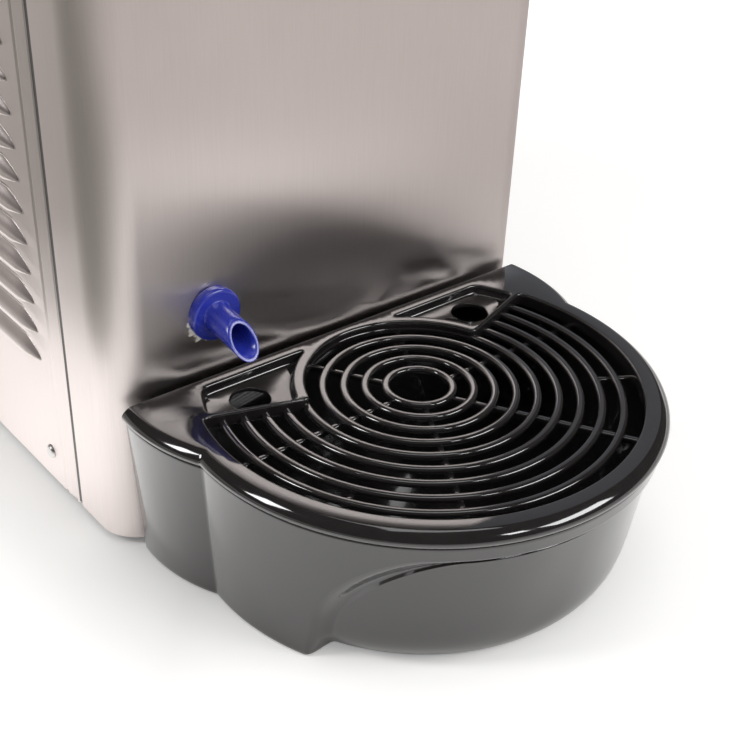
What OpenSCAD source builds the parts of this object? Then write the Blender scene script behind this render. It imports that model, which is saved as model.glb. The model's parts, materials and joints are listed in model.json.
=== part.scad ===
// Counter-top slush machine: stainless cabinet, chilled drum and auger in a clear bowl, tap,
// and a half-round drip tray with a ring grid. Millimetres, +Z up, front towards -Y.
// The origin lies on the table, under the middle of the whole machine.

/* [Cabinet] */
// Width of the cabinet
cab_w = 258; // [240:1:300]
// Depth of the cabinet
cab_d = 380; // [360:1:460]
// Height of the sheet-metal panels' top edge above the table
cab_top = 372; // [350:1:430]
// Height of the panels' lower edge above the table
cab_lift = 4; // [2:0.5:10]
// Radius of the front panel's rounded corners
corner_r = 20; // [10:1:30]
// Thickness of the sheet metal
sheet = 1; // [0.8:0.1:1.5]
// How far the front panel returns along each side
panel_return = 42; // [30:1:60]
// Open joint between the front panel and a side panel
panel_joint = 2.5; // [0.6:0.1:3]

/* [Side louvres] */
// Rows of louvres on each side
louvre_rows = 13; // [6:1:14]
// Distance between rows
louvre_pitch = 15.5; // [14:0.5:18]
// Height of the lowest louvre above the table
louvre_low = 76; // [60:1:100]
// Distance from the cabinet's front to the louvres
louvre_start = 69; // [60:1:90]
// Length of a louvre
louvre_len = 190; // [100:1:220]
// How far a louvre stands out
louvre_out = 3; // [2:0.5:6]

/* [Base] */
// Height of the rubber feet under the base pan
foot_h = 12; // [10:0.5:20]
// Diameter of a rubber foot
foot_d = 30; // [20:1:40]
// Thickness of the base pan
pan_t = 1.5; // [1:0.1:2.5]
// Height of the base pan's edge
pan_edge = 18; // [10:1:25]

/* [Drip tray] */
// Height of the ring tops above the table
ring_top = 81; // [70:1:95]
// Distance between neighbouring rings
ring_pitch = 10; // [9:0.1:11]
// Width of a ring bar
ring_bar = 3.2; // [2.4:0.1:4]
// Radius of the grid's opening in the rim
rim_inner_r = 105; // [103:0.5:108]
// Width of the rim around the opening
rim_w = 12; // [10:0.5:14]
// Height of the grid's rim
rim_h = 7; // [6:0.5:9]
// Slope of the rim's side, measured sideways
rim_slope = 4.5; // [2:0.5:6]
// Radius of the tray's rear lobes
lobe_r = 90; // [86:0.5:94]
// Sideways place of a rear lobe's centre
lobe_x = 36; // [33:0.5:38]
// Distance of a rear lobe's centre behind the grid's middle
lobe_y = 50; // [45:0.5:54]
// Distance of the tray's rear edge behind the middle's ring wall
collar_back = 4.1; // [2.5:0.1:6]
// Gap between the tray and the front panel
tray_gap = 2; // [1:0.5:10]
// Taper of the basin's wall from top to bottom
basin_draft = 5.5; // [3:0.5:8]
// Wall thickness of the basin
basin_wall = 2.5; // [2:0.1:4]
// Diameter of a finger hole in the grid
finger_d = 19; // [16:0.5:22]

/* [Drain spout] */
// Sideways place of the spout
spout_x = -74.5; // [-90:0.5:-60]
// Height of the spout above the table
spout_z = 116.5; // [105:0.5:150]
// Outer diameter of the spout's tube
spout_d = 14; // [12:0.5:16]
// Diameter of the spout's flange
spout_flange_d = 26; // [22:0.5:30]
// Length of the spout, from the panel to the middle of its slanted mouth
spout_len = 25; // [20:1:40]
// Downward tilt of the spout, in degrees
spout_tilt = 8; // [0:1:20]

/* [Bowl and drum] */
// Inner radius of the bowl's round bottom
bowl_r = 95; // [93:0.5:105]
// Wall thickness of the bowl
bowl_wall = 4; // [3:0.5:6]
// Height of the bowl's rim above the drum's axis
bowl_rise = 125; // [115:1:150]
// How far the bowl stands out in front of the cabinet
bowl_over = 30; // [20:1:36]
// Gap between the bowl's underside and the deck
bowl_lift = 5; // [3:0.5:10]
// Radius of the chilled drum
drum_r = 55; // [50:0.5:60]
// Gap between the auger's blade and the bowl
auger_gap = 5; // [4:0.5:15]
// Turns of the auger's blade
auger_turns = 3; // [2:0.5:4]
// Diameter of the auger's shaft
shaft_d = 16; // [12:0.5:18]
// Depth of the rear tower behind the bowl
tower_d = 118; // [112:1:130]
// Thickness of the deck
deck_t = 12; // [10:1:16]

/* [Tap] */
// Bore of the tap's barrel
barrel_bore = 26; // [22:0.5:30]
// Wall thickness of the barrel
barrel_wall = 5; // [4:0.5:6]
// Height of the tap's outlet above the table
outlet_z = 335; // [310:1:345]
// Opening turn of the lever, in degrees
lever_turn = 45; // [30:1:50]

/* [Clearances] */
// Radial clearance of a running shaft
run_fit = 0.05; // [0.02:0.01:0.1]
// Gap between moving pieces that don't touch
slip = 0.3; // [0.2:0.05:0.6]
// Radial clearance round a fixed screw or stem
hole_fit = 0.2; // [0.1:0.05:0.4]

/* [Hidden] */
$fn = 64;
eps = 0.01;

// Drip tray places. The grid's middle lies this far in front of the cabinet.
first_ring = 0.59;
ring_count = 9;
full_rings = 4;
collar_r = (full_rings + 1 + first_ring) * ring_pitch;
tray_back = collar_r + collar_back;
grid_y = -(tray_back + tray_gap);
rim_outer_r = rim_inner_r + rim_w;
rim_rise = 3;
rim_top = ring_top + rim_rise;
basin_top = rim_top - rim_h;
plate_angle = 18;
pocket_depth = 5;
pocket_margin = 5;
spoke_w = 3;
spoke_top = ring_top - 3.5;
spoke_h = 3;
basin_inset = 1.5;
basin_floor = 3;
basin_foot_r = rim_outer_r - basin_inset - basin_draft;
recess_foot_r = basin_foot_r - 14.5;
recess_heel_r = basin_foot_r - 5.4;
recess_heel_h = 10;
recess_top = ring_top - 11;
recess_half_w = basin_foot_r - 10;
recess_round = 42;
recess_y = -44;
finger_x = 70;
finger_y = 39;

// Overall frame: the machine is drawn with its front panel at Y = 0, then moved back or forward.
screw_head_h = 1.6;
front_y = (tray_back + tray_gap + rim_outer_r - cab_d - screw_head_h) / 2;
module seat() {
  translate([0, front_y, 0]) children();
}

// Deck, bowl and tower heights
deck_top = cab_top + deck_t;
axis_z = deck_top + bowl_lift + bowl_wall + bowl_r;
bowl_rim = axis_z + bowl_rise;
tower_y = cab_d - tower_d;
bulkhead_t = 6;
boss_t = 14;
boss_r = bowl_r - 8;
auger_r = bowl_r - auger_gap;
drum_front = 10;
drum_back = tower_y - boss_t;
drum_wall = 1.5;
shaft_r = shaft_d / 2;
tube_r = shaft_r + 4;
tower_w = cab_w - 28;
tower_top = axis_z + 96;

// A rectangle with only its front corners rounded
module front_rounded(w, d, r) {
  translate([-w / 2, r]) square([w, d - r]);
  translate([-w / 2 + r, 0]) square([w - 2 * r, r + eps]);
  for (x = [-w / 2 + r, w / 2 - r]) translate([x, r]) circle(r);
}

// A skin over rings of points, each ring as long as the next, closed at both ends
module skin(rings) {
  n = len(rings);
  sides = len(rings[0]);
  last = (n - 1) * sides;
  walls = [
    for (i = [0 : n - 2], k = [0 : sides - 1])
      let (a = i * sides + k, b = i * sides + (k + 1) % sides)
      each [[a, a + sides, b], [b, a + sides, b + sides]]
  ];
  caps = [for (k = [1 : sides - 2]) each [[0, k, k + 1], [last, last + k + 1, last + k]]];
  polyhedron([for (ring = rings) each ring], concat(walls, caps));
}
// A tube swept along points. The side reference is a direction that the route never takes.
function unit(v) = v / norm(v);
function tangent(p, i) = unit(p[min(i + 1, len(p) - 1)] - p[max(i - 1, 0)]);
function ring_at(c, t, r, sides, ref) =
  let (side = unit(cross(t, ref)), up = cross(side, t))
  [for (k = [0 : sides - 1]) c + r * (cos(360 * k / sides) * side + sin(360 * k / sides) * up)];
module swept_tube(p, r, sides, ref) {
  skin([for (i = [0 : len(p) - 1]) ring_at(p[i], tangent(p, i), r, sides, ref)]);
}
// A route of straight stretches with its corners rounded
function bezier(a, b, c, t) = (1 - t) * (1 - t) * a + 2 * t * (1 - t) * b + t * t * c;
function rounded(p, d) = [
  p[0],
  for (i = [1 : len(p) - 2])
    let (a = p[i] + d * unit(p[i - 1] - p[i]), b = p[i] + d * unit(p[i + 1] - p[i]))
    each [for (t = [0 : 0.25 : 1]) bezier(a, p[i], b, t)],
  p[len(p) - 1]
];
pipe_sides = 10;
pipe_bend = 8;
module pipe(points, r) {
  swept_tube(rounded(points, pipe_bend), r, pipe_sides, [1, 0.8, 0.6]);
}
// Points of a helix round the Z axis
function helix(r, h, turns, steps) =
  [for (i = [0 : turns * steps]) [r * cos(360 * i / steps), r * sin(360 * i / steps),
    h * i / (turns * steps)]];

// Cabinet
module base_pan() {
  pan_w = cab_w - 2 * sheet;
  pan_d = cab_d - 2 * sheet;
  pan_r = corner_r - sheet;
  color("silver") seat() translate([0, sheet, foot_h]) difference() {
    linear_extrude(pan_edge) front_rounded(pan_w, pan_d, pan_r);
    translate([0, pan_t, pan_t]) linear_extrude(pan_edge)
      front_rounded(pan_w - 2 * pan_t, pan_d - 2 * pan_t, pan_r - pan_t);
    for (p = foot_places) translate([p[0], p[1] - sheet, -1])
      cylinder(h = pan_t + 2, r = foot_stem_r + hole_fit);
    for (p = side_screws) translate([-cab_w / 2, p[0] - sheet, p[1] - foot_h]) rotate([0, 90, 0])
      cylinder(h = cab_w, r = screw_r + hole_fit);
    for (p = rear_screws) translate([p[0], pan_d - 5, p[1] - foot_h]) rotate([-90, 0, 0])
      cylinder(h = 10, r = screw_r + hole_fit);
  }
}
foot_inset = 40;
foot_stem_r = 4;
foot_places = [
  for (x = [-1, 1], y = [foot_inset, cab_d - foot_inset]) [x * (cab_w / 2 - foot_inset), y]
];
module feet() {
  stem_top = pan_t + 5;
  color("#222222") seat() for (p = foot_places) translate([p[0], p[1], 0]) {
    cylinder(h = foot_h - 3, r1 = foot_d / 2 - 2, r2 = foot_d / 2);
    translate([0, 0, foot_h - 3]) cylinder(h = 3, r = foot_d / 2);
    translate([0, 0, foot_h - eps]) cylinder(h = stem_top, r = foot_stem_r);
  }
}

spout_tail_r = spout_d / 2;
spout_bore_r = spout_tail_r - 2;
tail_bore_r = spout_bore_r - 1.5;
module front_panel() {
  color("#c4bcb7") seat() difference() {
    translate([0, 0, cab_lift]) linear_extrude(cab_top - cab_lift) difference() {
      front_rounded(cab_w, panel_return, corner_r);
      translate([0, sheet]) front_rounded(cab_w - 2 * sheet, panel_return, corner_r - sheet);
    }
    translate([spout_x, -1, spout_z]) rotate([-90, 0, 0]) cylinder(h = 4, r = spout_tail_r + hole_fit);
    for (x = control_xs) translate([x - control_hole / 2, -1, control_z - control_hole / 2])
      cube([control_hole, 4, control_hole]);
    translate([knob_x, -1, control_z]) rotate([-90, 0, 0]) cylinder(h = 4, r = stat_neck_r + hole_fit);
  }
}

// Side panels with pressed louvres. Drawn for the right side and mirrored for the left.
louvre_h = 9;
louvre_slot = 6;
groove_y = panel_return + panel_joint + 12;
module louvre_hood() {
  // A sloped hood, open below, in the plane of X outwards and Z upwards
  rotate([90, 0, 0]) translate([0, 0, -louvre_len]) linear_extrude(louvre_len)
    polygon([[-sheet, louvre_h], [0, louvre_h], [louvre_out, 1], [louvre_out, 0],
             [louvre_out - sheet, 0], [-sheet, louvre_h - 1.5]]);
  for (y = [0, louvre_len - sheet]) translate([0, y, 0]) rotate([90, 0, 0])
    translate([0, 0, -sheet]) linear_extrude(sheet)
      polygon([[-sheet, louvre_h], [0, louvre_h], [louvre_out, 1], [louvre_out, 0], [-sheet, 0]]);
}
module side_sheet() {
  y0 = panel_return + panel_joint;
  difference() {
    translate([cab_w / 2 - sheet, y0, cab_lift]) cube([sheet, cab_d - sheet - y0, cab_top - cab_lift]);
    translate([cab_w / 2 - sheet / 3, groove_y, cab_lift - 1]) cube([sheet, 1.5, cab_top]);
    for (i = [0 : louvre_rows - 1])
      translate([cab_w / 2 - 2 * sheet, louvre_start + sheet, louvre_low + i * louvre_pitch])
        cube([3 * sheet, louvre_len - 2 * sheet, louvre_slot]);
    for (p = side_screws) translate([cab_w / 2 - 5, p[0], p[1]]) rotate([0, 90, 0])
      cylinder(h = 10, r = screw_r + hole_fit);
  }
  for (i = [0 : louvre_rows - 1])
    translate([cab_w / 2, louvre_start, louvre_low + i * louvre_pitch]) louvre_hood();
}
module side_panel_right() {
  color("#d8d2cd") seat() side_sheet();
}
module side_panel_left() {
  color("#d8d2cd") seat() mirror([1, 0, 0]) side_sheet();
}

screw_r = 2;
screw_head_r = 4;
screw_len = 8;
side_screws = [for (y = [groove_y + 14, cab_d - 14]) [y, foot_h + pan_edge / 2]];
rear_screws = [for (x = [-1, 1]) [x * (cab_w / 2 - 24), foot_h + pan_edge / 2]];
module pan_head() {
  cylinder(h = screw_head_h, r1 = screw_head_r, r2 = screw_head_r - 1);
  translate([0, 0, -screw_len]) cylinder(h = screw_len + eps, r = screw_r);
}
module panel_screws() {
  color("#9a9a9a") seat() {
    for (s = [-1, 1], p = side_screws) translate([s * cab_w / 2, p[0], p[1]])
      rotate([0, s * 90, 0]) pan_head();
    for (p = rear_screws) translate([p[0], cab_d, p[1]]) rotate([-90, 0, 0]) pan_head();
  }
}

// Rear panel with a slotted vent for the condenser
vent_slots = 14;
vent_pitch = 14;
vent_w = 190;
vent_low = 40;
vent_slot_h = 6;
inlet_inset = 59;
inlet_x = inlet_inset - cab_w / 2;
inlet_z = 290;
inlet_w = 48;
inlet_h = 27;
module rear_panel() {
  color("#c9c9c9") seat() difference() {
    translate([-cab_w / 2, cab_d - sheet, cab_lift]) cube([cab_w, sheet, cab_top - cab_lift]);
    for (i = [0 : vent_slots - 1]) translate([-vent_w / 2, cab_d - 3, vent_low + i * vent_pitch])
      cube([vent_w, 6, vent_slot_h]);
    translate([inlet_x - inlet_w / 2, cab_d - 3, inlet_z - inlet_h / 2]) cube([inlet_w, 6, inlet_h]);
    for (p = rear_screws) translate([p[0], cab_d - 5, p[1]]) rotate([-90, 0, 0])
      cylinder(h = 10, r = screw_r + hole_fit);
  }
}
module power_inlet() {
  body_w = inlet_w - 2 * hole_fit;
  body_h = inlet_h - 2 * hole_fit;
  color("#1c1c1c") seat() translate([inlet_x, cab_d - sheet, inlet_z]) difference() {
    union() {
      translate([-body_w / 2, -24, -body_h / 2]) cube([body_w, 24 + sheet, body_h]);
      translate([-inlet_w / 2 - 4, -2, -inlet_h / 2 - 4]) cube([inlet_w + 8, 2, inlet_h + 8]);
    }
    translate([-14, -16, -9]) cube([28, 20, 18]);
  }
}

// Deck with a drip channel that drains to the spout
channel_w = 8;
channel_depth = 4;
channel_ring_w = cab_w - 36;
nipple_y = 40;
hose_wall = 2;
nipple_h = 22;
channel_ring_d = tower_y - 10 - nipple_y;
module top_deck() {
  color("#2a2a2c") seat() difference() {
    union() {
      translate([0, 0, cab_top]) linear_extrude(deck_t) front_rounded(cab_w, cab_d, corner_r);
      translate([0, sheet + hole_fit, cab_top - 4]) linear_extrude(4 + eps)
        front_rounded(cab_w - 2 * sheet - 2 * hole_fit, cab_d - 2 * sheet - 2 * hole_fit,
          corner_r - sheet);
      translate([spout_x, nipple_y, cab_top - nipple_h]) cylinder(h = nipple_h, r = spout_tail_r);
    }
    translate([0, 3 * sheet, cab_top - 5]) linear_extrude(5)
      difference() {
        front_rounded(cab_w - 6 * sheet, cab_d - 6 * sheet, corner_r - 3 * sheet);
        translate([spout_x, nipple_y - 3 * sheet]) circle(spout_tail_r);
      }
    translate([0, nipple_y - channel_w / 2, deck_top - channel_depth]) linear_extrude(channel_depth + 1)
      difference() {
        translate([-channel_ring_w / 2, 0]) square([channel_ring_w, channel_ring_d]);
        translate([-channel_ring_w / 2 + channel_w, channel_w])
          square([channel_ring_w - 2 * channel_w, channel_ring_d - 2 * channel_w]);
      }
    translate([spout_x, nipple_y, cab_top - nipple_h - 1]) cylinder(h = 60, r = spout_bore_r);
    for (x = [-1, 1]) translate([x * pipe_x, pipe_y, cab_top - 10]) cylinder(h = 40, r = pipe_hole_r);
  }
}
pipe_x = 80;
case_stand = 14;
pipe_y = tower_y + bulkhead_t + case_stand / 2;
pipe_hole_r = 7;

// Tower behind the bowl
tower_wall = 3;
module bulkhead() {
  color("#3a3a3c") seat() difference() {
    union() {
      translate([-tower_w / 2, tower_y, deck_top]) cube([tower_w, bulkhead_t, tower_top - deck_top]);
      translate([0, tower_y + eps, axis_z]) rotate([90, 0, 0])
        cylinder(h = boss_t, r = boss_r, $fn = 128);
    }
    translate([0, tower_y - 2 * boss_t, axis_z]) rotate([-90, 0, 0])
      cylinder(h = 4 * boss_t, r = bush_r + hole_fit);
    for (x = [coil_r, -return_x]) translate([x, tower_y - 2 * boss_t, axis_z]) rotate([-90, 0, 0])
      cylinder(h = 4 * boss_t, r = coil_tube_r + 1);
  }
}
module tower_cover() {
  depth = tower_d - bulkhead_t;
  height = tower_top - deck_top;
  round_r = 16;
  color("#c4bcb7") seat() translate([0, cab_d, deck_top]) mirror([0, 1, 0]) difference() {
    linear_extrude(height) front_rounded(tower_w, depth, round_r);
    translate([0, tower_wall, -1]) linear_extrude(height - tower_wall + 1)
      front_rounded(tower_w - 2 * tower_wall, depth, round_r - tower_wall);
    for (i = [0 : 5]) translate([-50, -5, 60 + 14 * i]) cube([100, 12, 5]);
  }
}
module bowl_gasket() {
  color("#e8e4dc") seat() translate([0, tower_y - 3, axis_z]) rotate([90, 0, 0]) difference() {
    cylinder(h = 9, r = bowl_r - slip, $fn = 128);
    translate([0, 0, -1]) cylinder(h = 11, r = boss_r, $fn = 128);
  }
}

// Chilled drum: a cup with a tube for the shaft, open towards the bulkhead
bush_r = tube_r;
module evaporator_drum() {
  length = drum_back - drum_front;
  color("#d9dcde") seat() translate([0, drum_back, axis_z]) rotate([90, 0, 0]) difference() {
    union() {
      difference() {
        cylinder(h = length, r = drum_r, $fn = 128);
        translate([0, 0, -1]) cylinder(h = length - 3, r = drum_r - drum_wall, $fn = 128);
      }
      cylinder(h = length, r = tube_r + 1.5);
    }
    translate([0, 0, -1]) cylinder(h = length + 2, r = tube_r);
  }
}
coil_tube_r = 4;
coil_turns = 7.5;
return_x = 32;
coil_r = drum_r - drum_wall - coil_tube_r - slip;
coil_inset = 12;
coil_len = drum_back - drum_front - 30;
coil_loops = helix(coil_r, coil_len, coil_turns, 24);
module evaporator_coil() {
  color("#b87333") seat() translate([0, drum_back - coil_inset, axis_z]) rotate([90, 0, 0])
    swept_tube(coil_loops, coil_tube_r, 6, [0, 0, 1]);
}
// Least gap between neighbouring loops of the coil
function loop_gap(p, r, steps) =
  min([for (i = [0 : len(p) - 1], k = [i + floor(steps / 2) : len(p) - 1]) if (k < len(p))
    norm(p[i] - p[k])]) - 2 * r;
module shaft_bushes() {
  color("#c9a86a") seat() {
    for (y = [[tower_y - boss_t, boss_t + bulkhead_t], [drum_front, 18]])
      translate([0, y[0], axis_z]) rotate([-90, 0, 0]) difference() {
        cylinder(h = y[1], r = bush_r - hole_fit / 4);
        translate([0, 0, -1]) cylinder(h = y[1] + 2, r = shaft_r + run_fit);
      }
  }
}

// Drive: a pinion on the motor turns a large gear on the auger's shaft
tooth_module = 2;
gear_teeth = 60;
pinion_teeth = 15;
gear_w = 12;
gear_pitch_r = tooth_module * gear_teeth / 2;
pinion_pitch_r = tooth_module * pinion_teeth / 2;
drive_angle = 45;
drive_off = (gear_pitch_r + pinion_pitch_r) * cos(drive_angle);
case_y = tower_y + bulkhead_t + case_stand;
post_r = 6;
post_out = 60;
case_depth = 26;
case_wall = 3;
case_r = gear_pitch_r + 9;
pinion_case_r = pinion_pitch_r + 9;
gear_y = case_y + case_wall + 4;
cover_t = 4;
motor_shaft_r = 5;
motor_r = 36;
motor_len = 60;
module gear_shape(teeth) {
  pitch_r = tooth_module * teeth / 2;
  root = pitch_r - 1.25 * tooth_module;
  tip = pitch_r + 0.85 * tooth_module;
  circle(root);
  for (i = [0 : teeth - 1]) rotate(360 * i / teeth)
    polygon([[root - 1, -1.9], [root, -1.9], [pitch_r, -1.2], [tip, -0.5],
             [tip, 0.5], [pitch_r, 1.2], [root, 1.9], [root - 1, 1.9]]);
}
module case_outline(extra) {
  circle(case_r + extra, $fn = 96);
  translate([drive_off, drive_off]) circle(pinion_case_r + extra);
}
module on_axis(y) {
  // Local Z runs back along +Y, local X stays, and local Y points up
  seat() translate([0, y, axis_z]) mirror([0, 1, 0]) rotate([90, 0, 0]) children();
}
module gearbox_case() {
  color("#8d9094") on_axis(case_y) {
    difference() {
      linear_extrude(case_depth) case_outline(0);
      translate([0, 0, case_wall]) linear_extrude(case_depth) case_outline(-case_wall);
      translate([0, 0, -1]) cylinder(h = 10, r = shaft_r + 1);
    }
    for (a = [45 : 90 : 315]) rotate(a) translate([post_out, 0, -case_stand])
      cylinder(h = case_stand + eps, r = post_r);
  }
}
module gearbox_cover() {
  color("#8d9094") on_axis(case_y + case_depth) difference() {
    linear_extrude(cover_t) case_outline(0);
    translate([0, 0, -1]) cylinder(h = cover_t + 2, r = shaft_r + run_fit);
    translate([drive_off, drive_off, -1]) cylinder(h = cover_t + 2, r = motor_shaft_r + 1);
  }
}
module drive_motor() {
  color("#5b6066") on_axis(case_y + case_depth + cover_t) translate([drive_off, drive_off, 0])
    difference() {
    union() {
      cylinder(h = motor_len, r = motor_r);
      for (i = [0 : 7]) rotate(45 * i) translate([motor_r - 2, -2, 8]) cube([5, 4, motor_len - 16]);
    }
    translate([0, 0, -1]) cylinder(h = 30, r = motor_shaft_r + run_fit);
  }
}
module motor_pinion() {
  color("#b0b3b6") on_axis(gear_y) translate([drive_off, drive_off, 0]) {
    rotate(180 + drive_angle) linear_extrude(gear_w) gear_shape(pinion_teeth);
    cylinder(h = case_y + case_depth + cover_t - gear_y + 20, r = motor_shaft_r);
  }
}
module drive_gear() {
  color("#e6e0cc") on_axis(gear_y) difference() {
    linear_extrude(gear_w) gear_shape(gear_teeth);
    translate([0, 0, -1]) cylinder(h = gear_w + 2, r = shaft_r);
    for (i = [0 : 5]) rotate(60 * i + 30) translate([38, 0, -1]) cylinder(h = gear_w + 2, r = 9);
  }
}

// Auger
hub_front = drum_front - 12;
hub_t = 8;
nut_len = 14;
blade_inner_r = drum_r + 2;
blade_t = 6;
module auger_shaft() {
  y0 = hub_front - 7;
  color("#cfd2d4") seat() translate([0, y0, axis_z]) rotate([-90, 0, 0])
    cylinder(h = case_y + case_depth + cover_t - y0, r = shaft_r);
}
module auger_spiral() {
  length = drum_back - 4 - hub_front - hub_t - blade_t;
  steps = 24 * auger_turns;
  color("#f2f0ea") on_axis(hub_front + hub_t) skin([
    for (i = [0 : steps])
      let (a = -360 * auger_turns * i / steps, z = length * i / steps, d = [cos(a), sin(a)])
      [[blade_inner_r * d[0], blade_inner_r * d[1], z], [auger_r * d[0], auger_r * d[1], z],
       [auger_r * d[0], auger_r * d[1], z + blade_t],
         [blade_inner_r * d[0], blade_inner_r * d[1], z + blade_t]]
  ]);
}
module auger_hub() {
  arm_w = 14;
  hub_r = shaft_r + 10;
  color("#f2f0ea") on_axis(hub_front) linear_extrude(hub_t) difference() {
    union() {
      circle(hub_r);
      for (i = [0 : 2]) rotate(120 * i) translate([hub_r / 2, -arm_w / 2])
        square([auger_r - 2 - hub_r / 2, arm_w]);
    }
    circle(shaft_r);
  }
}
module auger_nut() {
  color("#1f4fa8") on_axis(hub_front - nut_len) difference() {
    rotate_extrude() union() {
      translate([0, 5]) square([shaft_r + 8, nut_len - 5]);
      intersection() {
        translate([0, shaft_r + 8]) circle(shaft_r + 8);
        square([shaft_r + 8, 6]);
      }
    }
    translate([0, 0, 6]) cylinder(h = nut_len, r = shaft_r);
  }
}

// Cooling unit in the cabinet
floor_z = foot_h + pan_t;
comp_y = 140;
comp_r = 72;
grommet_h = 14;
comp_low = floor_z + grommet_h;
comp_h = 150;
module compressor() {
  dome = 26;
  color("#17181a") seat() translate([0, comp_y, comp_low]) difference() {
    union() {
      translate([-88, -62, 0]) cube([176, 124, 4]);
      cylinder(h = comp_h - dome, r = comp_r, $fn = 96);
      translate([0, 0, comp_h - dome - eps]) cylinder(h = dome, r1 = comp_r, r2 = comp_r - 34,
        $fn = 96);
      translate([comp_r - 12, -24, 40]) cube([26, 48, 52]);
    }
    for (p = grommet_places) translate([p[0], p[1], -1]) cylinder(h = 6, r = grommet_neck_r + hole_fit);
  }
}
grommet_r = 10;
grommet_neck_r = 6;
grommet_neck_h = 7;
grommet_places = [for (x = [-1, 1], y = [-1, 1]) [78 * x, 50 * y]];
module compressor_grommets() {
  color("#333333") seat() for (p = grommet_places) translate([p[0], comp_y + p[1], floor_z]) {
    cylinder(h = grommet_h, r = grommet_r);
    cylinder(h = grommet_h + grommet_neck_h, r = grommet_neck_r);
  }
}

cond_w = 196;
cond_h = 210;
cond_t = 44;
cond_y = cab_d - sheet - 12 - cond_t;
fin_count = 15;
module condenser() {
  pitch = (cond_w - 16) / fin_count;
  color("#8f7f6d") seat() translate([0, cond_y, floor_z]) {
    for (s = [-1, 1]) translate([s * (cond_w / 2 - 1.5) - 1.5, 0, 0]) cube([3, cond_t, cond_h]);
    for (i = [0 : fin_count]) translate([-cond_w / 2 + 8 + i * pitch - 0.6, 2, 10])
      cube([1.2, cond_t - 4, cond_h - 20]);
    for (z = [20 : 20 : cond_h - 20], y = [cond_t / 4, 3 * cond_t / 4]) translate([-cond_w / 2, y, z])
      rotate([0, 90, 0]) cylinder(h = cond_w, r = 4);
  }
}
fan_z = floor_z + cond_h / 2;
fan_r = 84;
shroud_r = fan_r + 4;
shroud_t = 16;
shroud_y = cond_y - shroud_t;
module fan_shroud() {
  color("#b9bcbe") seat() difference() {
    translate([-cond_w / 2, shroud_y, floor_z]) cube([cond_w, shroud_t, cond_h]);
    translate([-cond_w / 2 + 2, shroud_y + 2, floor_z + 2]) cube([cond_w - 4, shroud_t, cond_h - 4]);
    translate([0, shroud_y - 1, fan_z]) rotate([-90, 0, 0])
      cylinder(h = shroud_t, r = shroud_r, $fn = 96);
  }
}
fan_motor_r = 30;
fan_motor_len = 40;
fan_motor_y = shroud_y - 12 - fan_motor_len;
fan_shaft_r = 3;
module fan_motor() {
  color("#44484c") seat() translate([0, fan_motor_y, fan_z]) rotate([-90, 0, 0]) {
    cylinder(h = fan_motor_len, r = fan_motor_r);
    cylinder(h = fan_motor_len + 22, r = fan_shaft_r);
  }
}
bracket_z = 6;
bracket_h = 8;
module fan_bracket() {
  reach = shroud_r + 6;
  color("#9a9da0") seat() translate([0, fan_motor_y, fan_z]) rotate([-90, 0, 0]) difference() {
    union() {
      translate([0, 0, bracket_z]) cylinder(h = bracket_h, r = fan_motor_r + 3);
      for (i = [0 : 3]) rotate(90 * i + 45) {
        translate([fan_motor_r, -6, bracket_z]) cube([reach - fan_motor_r, 12, 4]);
        translate([reach - 4, -6, bracket_z]) cube([4, 12, shroud_y - fan_motor_y - bracket_z]);
      }
    }
    translate([0, 0, -1]) cylinder(h = bracket_z + bracket_h + 2, r = fan_motor_r + hole_fit / 2);
  }
}
module fan_blades() {
  blade_count = 5;
  hub_h = 18;
  color("#2f6f9f") seat() translate([0, fan_motor_y + fan_motor_len + 4, fan_z]) rotate([-90, 0, 0])
    difference() {
    union() {
      cylinder(h = hub_h, r = 16);
      for (i = [0 : blade_count - 1]) rotate(360 * i / blade_count) translate([12, 0, hub_h / 2])
        rotate([35, 0, 0]) translate([0, -16, -1]) cube([fan_r - 14, 32, 2]);
    }
    translate([0, 0, -1]) cylinder(h = hub_h + 2, r = fan_shaft_r + run_fit);
  }
}

// Pipes of the cooling circuit
gas_r = 4;
liquid_r = 3;
comp_port_z = comp_low + 110;
side_share = 0.4;
side_x = cond_w / 2 + side_share * (cab_w / 2 - sheet - cond_w / 2);
cond_port_y = cond_y + cond_t / 4;
cond_in_z = floor_z + cond_h - 30;
cond_out_z = floor_z + 30;
under_deck = 27;
under_deck_z = cab_top - under_deck;
coil_rear_y = drum_back - coil_inset;
coil_front_y = coil_rear_y - coil_len;
module discharge_pipe() {
  color("#b87333") seat() pipe([
    [-comp_r, comp_y, comp_port_z], [-side_x, comp_y, comp_port_z], [-side_x, comp_y, cond_in_z],
    [-side_x, cond_port_y, cond_in_z], [-cond_w / 2, cond_port_y, cond_in_z]
  ], gas_r);
}
drier_z = 240;
drier_len = 70;
drier_r = 9;
drier_neck = 8;
module filter_drier() {
  color("#a8703a") seat() translate([side_x, cond_port_y, drier_z]) {
    cylinder(h = drier_len, r = drier_r);
    translate([0, 0, -drier_neck]) cylinder(h = drier_neck + eps, r1 = gas_r, r2 = drier_r);
    translate([0, 0, drier_len - eps]) cylinder(h = drier_neck, r1 = drier_r, r2 = gas_r);
  }
}
module liquid_pipe() {
  color("#b87333") seat() {
    pipe([[cond_w / 2, cond_port_y, cond_out_z], [side_x, cond_port_y, cond_out_z],
          [side_x, cond_port_y, drier_z - drier_neck]], liquid_r);
    pipe([[side_x, cond_port_y, drier_z + drier_len + drier_neck], [side_x, cond_port_y, under_deck_z],
          [pipe_x, pipe_y, under_deck_z], [pipe_x, pipe_y, axis_z], [coil_r, pipe_y, axis_z],
          [coil_r, coil_rear_y + coil_tube_r, axis_z]], liquid_r);
  }
}
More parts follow.
